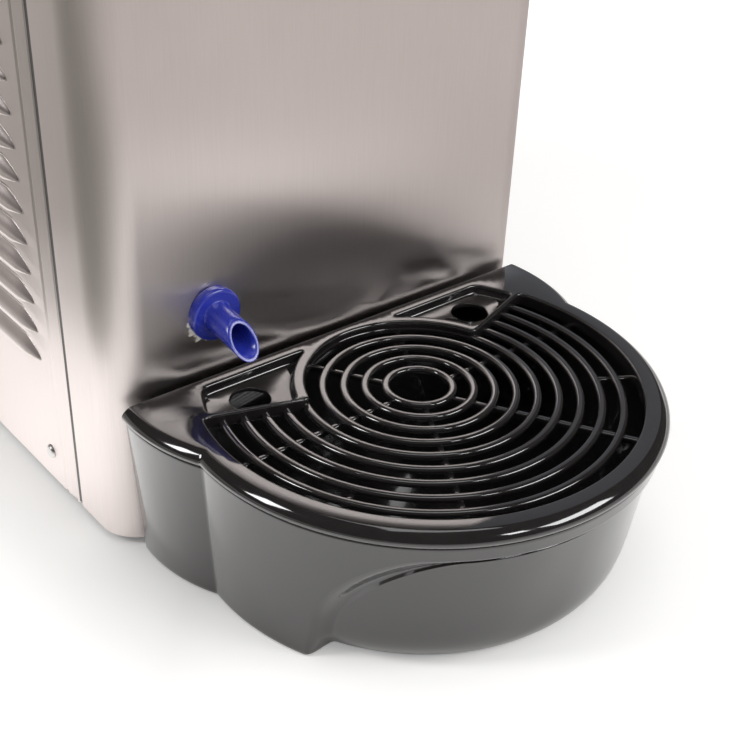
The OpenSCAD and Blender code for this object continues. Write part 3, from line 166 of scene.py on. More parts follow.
def make_finishes(colours):
    """Every finish of the machine, by name"""
    return {
        # Austenitic sheet, ground in upright lines that spread reflections sideways. The lines are far
        # finer than 0.25 mm, and are drawn that coarse so that they show.
        "stainless": finish("stainless_brushed", colours.steel, "#D6CDCA", (0.34, 0.38),
                            0.25, 0.0012, 150, (1, 1, 0.008), Metallic=1.0, Anisotropic=0.95),
        "drum_steel": finish("stainless_polished", "#D2D2D0", "#C4C5C5", (0.16, 0.26), 0.3, 0.003, 80,
                             (1, 0.03, 1), Metallic=1.0),
        # Hot-dip zinc: grey with broad spangles
        "galvanised": finish("zinc_sheet", "#A9ACAE", "#8F9396", (0.38, 0.55), 6, 0.01, 14, Metallic=0.9),
        # Injection-moulded ABS, polished tool: near black, sharp highlights, faint flow waves
        "black_gloss": finish("abs_gloss_black", colours.black, "#211F1F", (0.07, 0.12), 6, 0.003, 40,
                              IOR=1.53, **{"Coat Weight": 1.0, "Coat Roughness": 0.04}),
        # Spark-eroded ABS: even fine grain of 0.4 to 0.5 mm
        "deck_plastic": finish("abs_grained_grey", "#2B2C2E", "#242527", (0.42, 0.55),
                               0.5, 0.03, 50, IOR=1.53),
        "black_plastic": finish("abs_satin_black", "#1B1C1D", "#151617", (0.34, 0.46),
                                0.4, 0.02, 40, IOR=1.53),
        "rubber": finish("nitrile_rubber", "#1C1C1C", "#262525", (0.65, 0.8), 0.6, 0.03, 20, IOR=1.52),
        "pale_rubber": finish("silicone_gasket", "#E4DFD3", "#D8D2C5", (0.5, 0.62),
                              1.0, 0.01, 25, IOR=1.41),
        "screw_steel": finish("zinc_plated_steel", "#D2D0CE", "#C2C0BE", (0.3, 0.42),
                              0.4, 0.005, 6, Metallic=1.0),
        "copper": finish("copper_tube", "#C07A52", "#A8623F", (0.26, 0.42), 0.5, 0.006, 18, Metallic=1.0),
        "bronze": finish("sintered_bronze", "#B99A5B", "#A6874B", (0.36, 0.5),
                         0.3, 0.01, 8, Metallic=1.0),
        "cast_alloy": finish("die_cast_aluminium", "#9EA0A2", "#8C8F92", (0.4, 0.55),
                             0.8, 0.03, 20, Metallic=0.95),
        "motor_grey": finish("enamel_grey", "#54595E", "#4A4F54", (0.3, 0.42), 1.2, 0.015, 25),
        "gear_nylon": finish("cast_nylon", "#E6DFCB", "#D9D1BA", (0.35, 0.48), 1.0, 0.008, 15, IOR=1.53),
        "gear_steel": finish("cut_steel", "#AEB1B4", "#989B9E", (0.24, 0.38),
                             0.3, 0.006, 9, Metallic=1.0),
        "auger_plastic": finish("acetal_white", "#EDEBE4", "#E2DFD6", (0.26, 0.36),
                                2.0, 0.01, 30, IOR=1.48),
        # Polyethylene: waxy, soft highlights, colour a little uneven
        "blue_plastic": finish("polyethylene_blue", colours.blue, "#232E96", (0.2, 0.3), 1.5, 0.012, 14,
                               IOR=1.51, **{"Coat Weight": 0.6, "Coat Roughness": 0.2}),
        "compressor_black": finish("stove_enamel_black", "#141516", "#1D1E20", (0.25, 0.4),
                                   1.5, 0.03, 30),
        "coil_fins": finish("rolled_aluminium", "#A9A297", "#8F877A", (0.35, 0.5),
                            0.5, 0.01, 12, (1, 1, 0.1), Metallic=0.95),
        "fan_plastic": finish("polypropylene_blue", "#2C648C", "#25587D", (0.4, 0.5),
                              1.0, 0.01, 20, IOR=1.49),
        "red_plastic": finish("polycarbonate_red", "#A8231A", "#96190F", (0.2, 0.3),
                              0.8, 0.008, 8, IOR=1.58),
        "green_plastic": finish("polycarbonate_green", "#1F7A46", "#17683A", (0.2, 0.3),
                                0.8, 0.008, 8, IOR=1.58),
        "cream_plastic": finish("phenolic_cream", "#D6D0C2", "#C9C2B2", (0.38, 0.5), 0.8, 0.01, 10),
        "hose_pvc": finish("soft_vinyl", "#A9BCC4", "#9BB0B9", (0.3, 0.42), 1.0, 0.01, 20, IOR=1.53),
        # Polycarbonate, moulded clear: sharp reflections and no colour of its own
        "clear_bowl": finish("polycarbonate_clear", "#F4F8F9", "#EDF3F5", (0.03, 0.07), 4, 0.004, 60,
                             IOR=1.58, **{"Transmission Weight": 1.0}),
        "clear_tap": finish("copolyester_white", "#E9ECEC", "#DDE2E3", (0.2, 0.3),
                            2.0, 0.01, 20, IOR=1.54),
        "white_plastic": finish("acetal_piston", "#EDEDEA", "#E2E2DE", (0.24, 0.34),
                                1.0, 0.008, 12, IOR=1.48),
        "spring_steel": finish("spring_wire", "#C3C6C9", "#AEB1B5", (0.2, 0.3),
                               0.3, 0.004, 5, Metallic=1.0),
        # Screen-printed marks: a matt, slightly broken white
        "dial_paint": finish("screen_ink_white", "#DEDCD4", "#CFCCC2", (0.5, 0.65), 0.3, 0.004, 3),
        # Dried silicone sealant: chalky white and lumpy
        "sealant": finish("silicone_sealant", "#ECEAE4", "#D9D5CC", (0.55, 0.75), 0.7, 0.12, 4, IOR=1.41),
    }


def piece(name, shape, place, finish_name, body, nodes=(), sharp=SHARP):
    """A mesh piece of a shape in millimetres, with the function that places its points in the row frame.
    It rides on a body and stands for CAD nodes."""
    verts, faces = shape
    mesh = bpy.data.meshes.new(name)
    mesh.from_pydata([place(*v) for v in verts], [], faces)
    return settle(bpy.data.objects.new(name, mesh), finish_name, body, nodes, sharp)


def settle(obj, finish_name, body, nodes=(), sharp=SHARP):
    """Cleans a piece's mesh, gives it its finish and its body"""
    mesh = obj.data
    work = bmesh.new()
    work.from_mesh(mesh)
    bmesh.ops.remove_doubles(work, verts=work.verts, dist=WELD)
    bmesh.ops.recalc_face_normals(work, faces=work.faces)
    work.to_mesh(mesh)
    work.free()
    mesh.shade_smooth()
    mesh.set_sharp_from_angle(angle=math.radians(sharp))
    mesh.materials.clear()
    mesh.materials.append(FINISH[finish_name])
    link(obj)
    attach(obj, body)
    if nodes:
        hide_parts(*nodes)
    return obj


FINISH = {}


def at_row(x, y, z):
    """A point in millimetres in the row frame"""
    return (x * MM, y * MM, z * MM)


def at_grid(x, y, z):
    """A point in millimetres from the grid's middle and the table, in the row frame"""
    return (x * MM, y * MM + GRID_Y, z * MM)


def at_front(x, y, z):
    """A point in millimetres from the front panel's middle and the table, in the row frame"""
    return (x * MM, y * MM + FRONT_Y, z * MM)


def loft(rings, closed=True, caps=False):
    """Vertices and faces over rings of points that are all equally long, with or without end faces"""
    count = len(rings[0])
    verts = [p for ring in rings for p in ring]
    faces = []
    for i in range(len(rings) - 1):
        for k in range(count if closed else count - 1):
            a, b = i * count + k, i * count + (k + 1) % count
            faces.append((a, b, b + count, a + count))
    if caps:
        faces.append(tuple(reversed(range(count))))
        faces.append(tuple(range((len(rings) - 1) * count, len(rings) * count)))
    return verts, faces


def join(*parts):
    """Several lists of vertices and faces as one"""
    verts, faces = [], []
    for some_verts, some_faces in parts:
        faces += [tuple(i + len(verts) for i in f) for f in some_faces]
        verts += some_verts
    return verts, faces


def arc(cx, cy, r, start, end, count, last=True):
    """Points on an arc, angles in degrees, with or without its last point"""
    turns = [math.radians(start + (end - start) * i / count) for i in range(count + 1 if last else count)]
    return [(cx + r * math.cos(a), cy + r * math.sin(a)) for a in turns]


# The middle of the right lobe, and the counts of points along the outline
LOBE = (36.0, 50.0)
ARC_STEPS, LOBE_STEPS, BACK_STEPS = 400, 40, 40


def tray_outline(main_r, lobe_r, back, stops=(), steps=(ARC_STEPS,)):
    """The tray's outline: a big circle, two rear lobes and a straight back, with the same count of points
    for any size. It runs from the right notch round the front to the left one, then over the lobes and
    the back. Stops are places across the front's right half, and mirrored in its left, that points fall
    on, with steps points from each to the next."""
    stops = [*stops, *(-x for x in reversed(stops))]
    reach = math.hypot(*LOBE)
    a = (main_r ** 2 - lobe_r ** 2 + reach ** 2) / (2 * reach)
    h = math.sqrt(main_r ** 2 - a ** 2)
    nx, ny = (a * LOBE[0] + h * LOBE[1]) / reach, (a * LOBE[1] - h * LOBE[0]) / reach
    notch = math.degrees(math.atan2(ny, nx))
    turns = [notch] + [-math.degrees(math.acos(x / main_r)) for x in stops] + [-180 - notch]
    front = []
    for begin, finish_turn, count in zip(turns, turns[1:], steps):
        front += arc(0, 0, main_r, begin, finish_turn, count, False)
    start = math.degrees(math.atan2(ny - LOBE[1], nx - LOBE[0]))
    end = math.degrees(math.asin((back - LOBE[1]) / lobe_r))
    right = arc(LOBE[0], LOBE[1], lobe_r, start, end, LOBE_STEPS, False)
    corner = LOBE[0] + lobe_r * math.cos(math.radians(end))
    rear = [(-corner + 2 * corner * i / BACK_STEPS, back) for i in range(BACK_STEPS)]
    left = [(-x, y) for x, y in right]
    return front + left + rear + [(corner, back)] + right[:0:-1]


def smooth_loop(points, spacing, rounds):
    """A closed line resampled evenly, with its corners rounded"""
    total, marks = 0.0, [0.0]
    closed = points + [points[0]]
    for p, q in zip(closed, closed[1:]):
        total += math.dist(p, q)
        marks.append(total)
    count, out, k = max(8, round(total / spacing)), [], 0
    for i in range(count):
        want = total * i / count
        while marks[k + 1] < want:
            k += 1
        t = (want - marks[k]) / max(marks[k + 1] - marks[k], 1e-9)
        p, q = closed[k], closed[k + 1]
        out.append((p[0] + t * (q[0] - p[0]), p[1] + t * (q[1] - p[1])))
    for _ in range(rounds):
        out = [((out[i - 1][0] + 2 * p[0] + out[(i + 1) % count][0]) / 4,
                (out[i - 1][1] + 2 * p[1] + out[(i + 1) % count][1]) / 4) for i, p in enumerate(out)]
    return out


def offset(points, by):
    """A closed counter-clockwise line moved outwards by a distance"""
    count, out = len(points), []
    for i, p in enumerate(points):
        a, b = points[i - 1], points[(i + 1) % count]
        tx, ty = b[0] - a[0], b[1] - a[1]
        size = math.hypot(tx, ty) or 1
        out.append((p[0] + by * ty / size, p[1] - by * tx / size))
    return out


def inside(point, loop):
    """Whether a point lies in a closed line"""
    x, y = point
    odd = False
    for i, (x1, y1) in enumerate(loop):
        x0, y0 = loop[i - 1]
        if (y0 > y) != (y1 > y) and x < (x1 - x0) * (y - y0) / (y1 - y0) + x0:
            odd = not odd
    return odd


def plate(outer, holes, z):
    """A flat sheet between an outer line and its holes, in the grid's millimetres"""
    points, edges = [], []
    for loop in [outer] + holes:
        first = len(points)
        points += [Vector(p) for p in loop]
        edges += [(first + i, first + (i + 1) % len(loop)) for i in range(len(loop))]
    verts, _, faces = geometry.delaunay_2d_cdt(points, edges, [], 0, 1e-5)[:3]
    kept = []
    for f in faces:
        middle = (sum(verts[i].x for i in f) / len(f), sum(verts[i].y for i in f) / len(f))
        if inside(middle, outer) and not any(inside(middle, h) for h in holes):
            kept.append(tuple(f))
    return [(v.x, v.y, z) for v in verts], kept


def lift(loop, z):
    """A flat line at a height"""
    return [(x, y, z) for x, y in loop]


class TrayBasin(bpy.types.Operator):
    """The drip basin: drafted wall with a wide arch in its front, behind which the wall is set back"""

    bl_idname = "slush.tray_basin"
    bl_label = "Drip basin"

    def execute(self, context):
        top, floor, foot_r, lobe_r, back_y, draft, thick = 77.0, 3.0, 110.0, 83.0, 59.0, 5.5, 2.5
        inner_foot, inner_top = 93, 111
        # The recess in the arch: radius at its foot, flare over the foot, and lean up to the arch's top
        recess_r, flare, lean, recess_end = 95.5, 9, 8, -30
        # The arch's outer and inner lines: half width, height, and the width and height of their corners
        outer_line, inner_line = (100.5, 70.0, 28.0, 45.0), (95.5, 66.0, 36.0, 48.0)
        # The channel between both lines: least width, dip past the recess, and where it turns up again
        narrowest, over, turn_at, ease = 1.4, 0.36, 0.8, 0.6
        # The dip starts at this height and is whole this much higher
        dip_low, dip_rise = 12, 30
        # The wall has points on each line and this far to both sides of it, and so many steps between them
        beside = 1.2
        steps = (58, 3, 3, 18, 3, 3, 126, 3, 3, 18, 3, 3, 58)

        def depth(x, z, half, high, corner_w, corner_h):
            """How far inside an arch's line a point lies, seen from the front"""
            dx, dz = (abs(x) - half + corner_w) / corner_w, (z - high + corner_h) / corner_h
            return (1 - math.hypot(max(dx, 0), max(dz, 0))) * math.sqrt(corner_w * corner_h)

        def line_x(z, half, high, corner_w, corner_h):
            """Where an arch's line stands at a height"""
            rise = min(1.0, max(0.0, (z - high + corner_h) / corner_h))
            return half - corner_w + corner_w * math.sqrt(1 - rise * rise)

        def sink(into, wide, z):
            """Share of the recess's depth on the channel: above the foot it dips past the recess"""
            across = min(1.0, max(0.0, into / wide))
            dip = 1 + over * min(1.0, max(0.0, (z - dip_low) / dip_rise))
            if across > turn_at:
                return 1 + (dip - 1) * (1 - across) / (1 - turn_at)
            fall = across / turn_at
            return dip * (fall - ease * math.sin(2 * math.pi * fall) / (2 * math.pi))

        def wall(x, y, z):
            """A point of the wall, moved in where it lies behind the arch's outer line"""
            outer, inner = depth(x, z, *outer_line), depth(x, z, *inner_line)
            if y > recess_end:
                return x, y, z
            r = math.hypot(x, y)
            back = min(r, recess_r + flare * math.tanh(z / flare) + lean * z / outer_line[1])
            k = 1 - sink(outer, max(outer - inner, narrowest), z) * (r - back) / r
            return x * k, y * k, z

        # Rows of the wall, closer together at its foot and under the arch
        heights = [0, 0.4, 1.2, 2.5] + [4 + 1.5 * i for i in range(14)]
        heights += [25 + 45 * math.sin(math.radians(2.25 * i)) for i in range(27)]
        heights += [64 + 0.3 * i for i in range(26)] + [73, 74.6, 76, 76.6, top]
        rings = []
        for z in heights:
            share = z / top
            # The foot and the top edge are rounded
            pull = {0: 1.2, 0.4: 0.4, 76.6: 0.4, top: 0.9}.get(z, 0)
            far, near = line_x(z, *outer_line), line_x(z, *inner_line)
            half = [line + by for line in (far, near) for by in (beside, 0, -beside)]
            outline = tray_outline(foot_r + draft * share - pull, lobe_r + draft * share - pull,
                                   back_y - pull, half, steps)
            rings.append([wall(x, y, z) for x, y in outline])
        inner = []
        for z, extra in [(top, 0.5), (76.4, 0), (60, 0), (40, 0), (20, 0), (8, 0), (5, 1.2), (floor, 5)]:
            share = (z - floor) / (top - floor)
            main = inner_foot + (inner_top - inner_foot) * share - extra
            lobe = lobe_r - thick + draft * share - extra
            outline = tray_outline(main, lobe, back_y - thick - extra, (73, 72, 71, 60, 59, 58), steps)
            inner.append(lift(outline, z))
        shape = loft(rings + inner, caps=True)
        piece("drip_basin_shell", shape, at_grid, "black_gloss", "tray", ["drip_basin"], 40)
        return {"FINISHED"}


class GridFrame(bpy.types.Operator):
    """The grid: rounded rim, rear plates with pockets and finger holes, and the rings on their spokes"""

    bl_idname = "slush.grid_frame"
    bl_label = "Drip grid"

    def execute(self, context):
        sizes = context.scene.machine_sizes
        low, high = 77.0, 84.0
        rim_r, lobe_r, back, opening_r, middle_r = 117, 90, 60, 105, 54.3
        pocket_far, pocket_near, pocket_low, pocket_high, pocket_floor = 102, 60, 36, 53.5, 79.0
        finger_x, finger_y, finger_r = 70, 39, 9.5
        # Flank of the rim: a small lower edge, the widest line, a bulging bevel and its crest
        flank = [(4, low), (1.3, low), (0.8, 77.5), (0.2, 78.4), (0, 79.3), (0.3, 80.2)]
        flank += [(0.9, 81.3), (1.8, 82.25), (2.7, 82.95), (3.5, 83.45), (3.9, 83.7)]
        flank += [(4.2, 83.86), (4.6, 83.96), (5.0, high)]
        rim = [lift(tray_outline(rim_r - d, lobe_r - d, back - 0.16 * d), z) for d, z in flank]
        opening = arc(0, 0, opening_r, 162, 378, 220) + arc(0, 0, middle_r, 18, 162, 90)
        opening = smooth_loop(opening, 1.2, 6)
        # A pocket lies between two arcs, over a line that falls towards the middle and under a level one
        slope = (pocket_low - 11) / (pocket_far - 29.95)
        pocket = [(x, y) for x, y in arc(0, 0, pocket_far, 5, 60, 120) + arc(0, 0, pocket_near, 80, 5, 120)
                  if pocket_low + (x - pocket_far) * slope < y < pocket_high]
        pockets = [smooth_loop(pocket, 1.0, 12)]
        pockets.append([(-x, y) for x, y in reversed(pockets[0])])
        holes = [arc(side * finger_x, finger_y, finger_r, 0, 360, 48, False) for side in (1, -1)]
        edge = 1.3
        turn = [(1 - math.sin(math.radians(a)), math.cos(math.radians(a))) for a in (0, 22, 45, 67, 90)]

        def down(loop, depth, foot):
            """Rounded edge and wall of a hole, from its top line to its foot"""
            rings = [lift(offset(loop, edge * o), high - edge + edge * c) for o, c in turn]
            return rings + [lift(offset(loop, -f), high - depth + z) for f, z in foot]

        parts = [loft(rim)]
        parts.append(plate([p[:2] for p in rim[-1]], [offset(h, edge) for h in [opening] + pockets], high))
        parts.append(loft(down(opening, high - low, [(0, 0.6), (-0.6, 0)])))
        for pocket_line, hole in zip(pockets, holes):
            walls = down(pocket_line, high - pocket_floor, [(0.3, 1.4), (0.7, 0.5), (1.6, 0)])
            parts.append(loft(walls))
            parts.append(plate([p[:2] for p in walls[-1]], [offset(hole, 0.8)], pocket_floor))
            parts.append(loft([lift(offset(hole, by), z)
                               for by, z in ((0.8, pocket_floor), (0.25, 78.75), (0, 78.2), (0, low))]))
        parts.append(plate([p[:2] for p in rim[0]], [offset(opening, 0.6)] + holes, low))
        shell = piece("drip_grid_frame", join(*parts), at_grid, "black_gloss", "grid", ["drip_grid"], 38)
        rings = ring_pattern(sizes)
        work = bmesh.new()
        work.from_mesh(shell.data)
        work.from_mesh(rings)
        work.to_mesh(shell.data)
        work.free()
        bpy.data.meshes.remove(rings)
        return {"FINISHED"}


def baked(name, tree, inputs):
    """The mesh that a geometry tree makes, with its inputs set by their names"""
    maker = bpy.data.objects.new(name, bpy.data.meshes.new(name))
    link(maker)
    modifier = maker.modifiers.new("shape", "NODES")
    modifier.node_group = tree
    for item in tree.interface.items_tree:
        if item.item_type == "SOCKET" and item.in_out == "INPUT" and item.name in inputs:
            modifier[item.identifier] = inputs[item.name]
    context = bpy.context.evaluated_depsgraph_get()
    mesh = bpy.data.meshes.new_from_object(maker.evaluated_get(context))
    maker.modifiers.clear()
    bpy.data.objects.remove(maker)
    return mesh


def geometry_tree(name, inputs):
    """An empty geometry tree with named inputs: the tree, its inputs by name and its output node"""
    tree = bpy.data.node_groups.new(name, "GeometryNodeTree")
    for label, kind in inputs.items():
        tree.interface.new_socket(label, in_out="INPUT", socket_type="NodeSocket" + kind)
    tree.interface.new_socket("Geometry", in_out="OUTPUT", socket_type="NodeSocketGeometry")
    return tree, add(tree, "NodeGroupInput").outputs, add(tree, "NodeGroupOutput")


def close_tree(tree, made, finish_name, out):
    """Ends a geometry tree: its instances made real and its finish set"""
    whole = add(tree, "GeometryNodeRealizeInstances", {"Geometry": made})
    painted = add(tree, "GeometryNodeSetMaterial", {"Geometry": whole, "Material": FINISH[finish_name]})
    tree.links.new(painted.outputs[0], out.inputs[0])


def ring_pattern(sizes):
    """Rings and spokes of the grid: bars with rounded edges, swept along arcs and lines"""
    bar_edge, spoke, spoke_edge, top = 1.45 * MM, 3 * MM, 0.7 * MM, 81 * MM
    spoke_low = Vector((0, 0, 2.75 * MM))
    tree, source, out = geometry_tree("ring_pattern", {"Pitch": "Float", "Bar": "Float", "Height": "Float"})
    quad = add(tree, "GeometryNodeCurvePrimitiveQuadrilateral",
               {"Width": source["Height"], "Height": source["Bar"]})
    bar = add(tree, "GeometryNodeFilletCurve", {"Curve": quad, "Radius": bar_edge, "Count": 4}, mode="POLY")
    square = add(tree, "GeometryNodeCurvePrimitiveQuadrilateral", {"Width": spoke, "Height": spoke})
    thin = add(tree, "GeometryNodeFilletCurve", {
        "Curve": square, "Radius": spoke_edge, "Count": 2}, mode="POLY")
    gather = add(tree, "GeometryNodeJoinGeometry")
    # Nine rings, of which the inner five are whole
    for k in range(1, 10):
        radius = add(tree, "ShaderNodeMath", {0: source["Pitch"], 1: k + 0.59}, operation="MULTIPLY")
        full = k < 6
        line = add(tree, "GeometryNodeCurveArc", {
            "Resolution": 48 + 16 * k, "Radius": radius,
            "Start Angle": 0.0 if full else math.radians(160.5),
            "Sweep Angle": 2 * math.pi if full else math.radians(219)}, mode="RADIUS")
        swept = add(tree, "GeometryNodeCurveToMesh", {
            "Curve": line, "Profile Curve": bar, "Fill Caps": True})
        tree.links.new(swept.outputs[0], gather.inputs[0])
    # Spokes: angle, start and end, in pitches from the middle
    spokes = [(a, 1.59, 10.7) for a in (0, 180, 240, 300)] + [(a, 1.59, 5.59) for a in (60, 120)]
    spokes += [(a, 8.59, 10.7) for a in (-30, -150)]
    for angle, start, end in spokes:
        way = Vector((math.cos(math.radians(angle)), math.sin(math.radians(angle)), 0))
        line = add(tree, "GeometryNodeCurvePrimitiveLine", {
            "Start": way * start * sizes.ring_pitch - spoke_low,
            "End": way * end * sizes.ring_pitch - spoke_low})
        swept = add(tree, "GeometryNodeCurveToMesh", {
            "Curve": line, "Profile Curve": thin, "Fill Caps": True})
        tree.links.new(swept.outputs[0], gather.inputs[0])
    placed = add(tree, "GeometryNodeTransform", {
        "Geometry": gather, "Translation": (0, GRID_Y, top - sizes.ring_height / 2)})
    smooth = add(tree, "GeometryNodeSetShadeSmooth", {"Geometry": placed})
    close_tree(tree, smooth, "black_gloss", out)
    return baked("ring_pattern", tree, {
        "Pitch": sizes.ring_pitch, "Bar": sizes.ring_bar, "Height": sizes.ring_height})


# The sheets' outer faces, foot and top. The front sheet ends this far behind the front, the side sheets
# start after an open joint, and a lip is folded in at both
CABINET_HALF, PANEL_FOOT, PANEL_TOP = 129.0, 4.0, 372.0
RETURN_END, SIDE_START, LIP = 42.0, 44.5, 8.0


class FrontPanel(bpy.types.Operator):
    """The front sheet, bent round both front corners, with a lip folded in at each joint"""

    bl_idname = "slush.front_panel"
    bl_label = "Front panel"

    def execute(self, context):
        half, r, fold, sheet, edge = CABINET_HALF, 20.0, 1.2, 1.0, 0.3

        def line(inset):
            """The sheet's outer face seen from above, moved into its thickness"""
            left = [(-half + LIP, RETURN_END - inset)]
            left += arc(-half + fold, RETURN_END - fold, fold - inset, 90, 180, 8)
            left += arc(-half + r, r, r - inset, 180, 270, 28)
            return left + [(-x, y) for x, y in reversed(left)]

        rings = []
        for z, pull in ((PANEL_FOOT, edge), (PANEL_FOOT + edge, 0),
                        (PANEL_TOP - edge, 0), (PANEL_TOP, edge)):
            rings.append(lift(line(pull) + line(sheet - pull)[::-1], z))
        shape = loft(rings, caps=True)
        piece("front_sheet", shape, at_front, "stainless", "cabinet", ["front_panel"], 25)
        # Painted shade: a black strip behind each joint stands for the dark, unlit inside of the cabinet
        strips = []
        for side in (1, -1):
            x = side * (half - 0.5)
            ends = (RETURN_END - 0.2, SIDE_START + 0.2)
            heights = (PANEL_FOOT + 1, PANEL_FOOT + 1, PANEL_TOP - 1, PANEL_TOP - 1)
            corners = [(x, y, z) for y, z in zip(ends + ends[::-1], heights)]
            strips.append((corners, [(0, 1, 2, 3)]))
        piece("joint_liner", join(*strips), at_front, "black_plastic", "cabinet")
        return {"FINISHED"}


class SidePanels(bpy.types.Operator):
    """The side sheets with a folded lip, a pressed groove, slots and louvre hoods"""

    bl_idname = "slush.side_panels"
    bl_label = "Side panels"

    def execute(self, context):
        sizes = context.scene.machine_sizes
        start, low, slot_h, fold, inner = 69.0, 76.0, 6.0, 1.2, 18.0
        groove, groove_deep, rear, thick = 57.2, 0.7, 379.0, 0.9 * MM
        rows, pitch, reach = sizes.louvre_rows, sizes.louvre_pitch / MM, sizes.louvre_length / MM
        # Columns of the sheet: distance behind the front, and depth behind the sheet's outer face
        columns = [(SIDE_START, LIP)]
        columns += [(SIDE_START + fold - y, fold - x) for x, y in arc(0, 0, fold, 0, 90, 6)]
        columns += [(groove + d, groove_deep * math.cos(math.radians(45 * d)) ** 2)
                    for d in (-2, -1.3, -0.7, 0, 0.7, 1.3, 2)]
        slot = len(columns)
        columns += [(start + inner, 0), (start + reach - inner, 0), (rear, 0)]
        zs = [low + i * pitch + d for i in range(rows) for d in (0, slot_h)]
        zs = [PANEL_FOOT] + zs + [PANEL_TOP]
        wide = len(columns)
        for side, name in ((1, "side_panel_right"), (-1, "side_panel_left")):
            verts = [(side * (CABINET_HALF - depth), y, z) for z in zs for y, depth in columns]
            faces = []
            for j in range(len(zs) - 1):
                for i in range(wide - 1):
                    if i != slot or j % 2 == 0:
                        a = j * wide + i
                        faces.append((a, a + 1, a + 1 + wide, a + wide))
            obj = piece(name + "_sheet", (verts, faces), at_front, "stainless", "cabinet", [name], 20)
            hoods = louvre_rows(sizes, side, start, low)
            work = bmesh.new()
            work.from_mesh(obj.data)
            face_out(work.faces, Vector((side, -0.2, 0)))
            sheet = set(work.faces)
            work.from_mesh(hoods)
            face_out([f for f in work.faces if f not in sheet], Vector((side, 0, 0)))
            work.to_mesh(obj.data)
            work.free()
            bpy.data.meshes.remove(hoods)
            wall = obj.modifiers.new("sheet", "SOLIDIFY")
            wall.thickness = thick
            wall.offset = -1
            keep_flat(obj)
        return {"FINISHED"}


def face_out(faces, way):
    """Turns faces so that they look along a direction, and shades them smoothly"""
    for f in faces:
        f.normal_update()
        if f.normal.dot(way) < 0:
            f.normal_flip()
        f.smooth = True


def louvre_rows(sizes, side, start, low):
    """A column of louvre hoods: one pressed hood that tapers to both ends, repeated up the side"""
    reach, out, high, lip, taper = sizes.louvre_length / MM, sizes.louvre_out / MM, 9.0, 1.6, 12
    steps = [0.3, 1, 2, 3.5, 5.5, 8, 11, 14.5, 18, 22, 28]
    ys = steps + [reach - s for s in reversed(steps)]
    rings = []
    for k in range(11):
        s = k / 10
        ring = []
        for y in ys:
            near = min(y, reach - y)
            rise = high * min(1.0, near / 14) ** 0.6
            stand = out * min(1.0, near / taper) ** 0.6
            x = CABINET_HALF + stand * math.sin(s * math.pi / 2) ** 1.4
            ring.append((side * x, start + y, low + rise * (1 - s)))
        rings.append(ring)
    # The hood's lip stands upright
    rings.append([(x, y, z - lip * min(1.0, min(y - start, start + reach - y) / taper))
                  for x, y, z in rings[-1]])
    verts, faces = loft(rings, closed=False)
    hood = bpy.data.meshes.new("louvre_hood")
    hood.from_pydata([at_front(*v) for v in verts], [], faces)
    model = bpy.data.objects.new("louvre_hood", hood)
    link(model)
    tree, source, end = geometry_tree("louvre_rows", {"Rows": "Int", "Pitch": "Float", "Hood": "Object"})
    climb = add(tree, "ShaderNodeCombineXYZ", {"Z": source["Pitch"]})
    points = add(tree, "GeometryNodeMeshLine", {"Count": source["Rows"], "Offset": climb})
    shape = add(tree, "GeometryNodeObjectInfo", {"Object": source["Hood"]})
    many = add(tree, "GeometryNodeInstanceOnPoints", {
        "Points": points, "Instance": shape.outputs["Geometry"]})
    close_tree(tree, many, "stainless", end)
    mesh = baked("louvre_rows", tree, {
        "Rows": sizes.louvre_rows, "Pitch": sizes.louvre_pitch, "Hood": model})
    bpy.data.objects.remove(model)
    return mesh


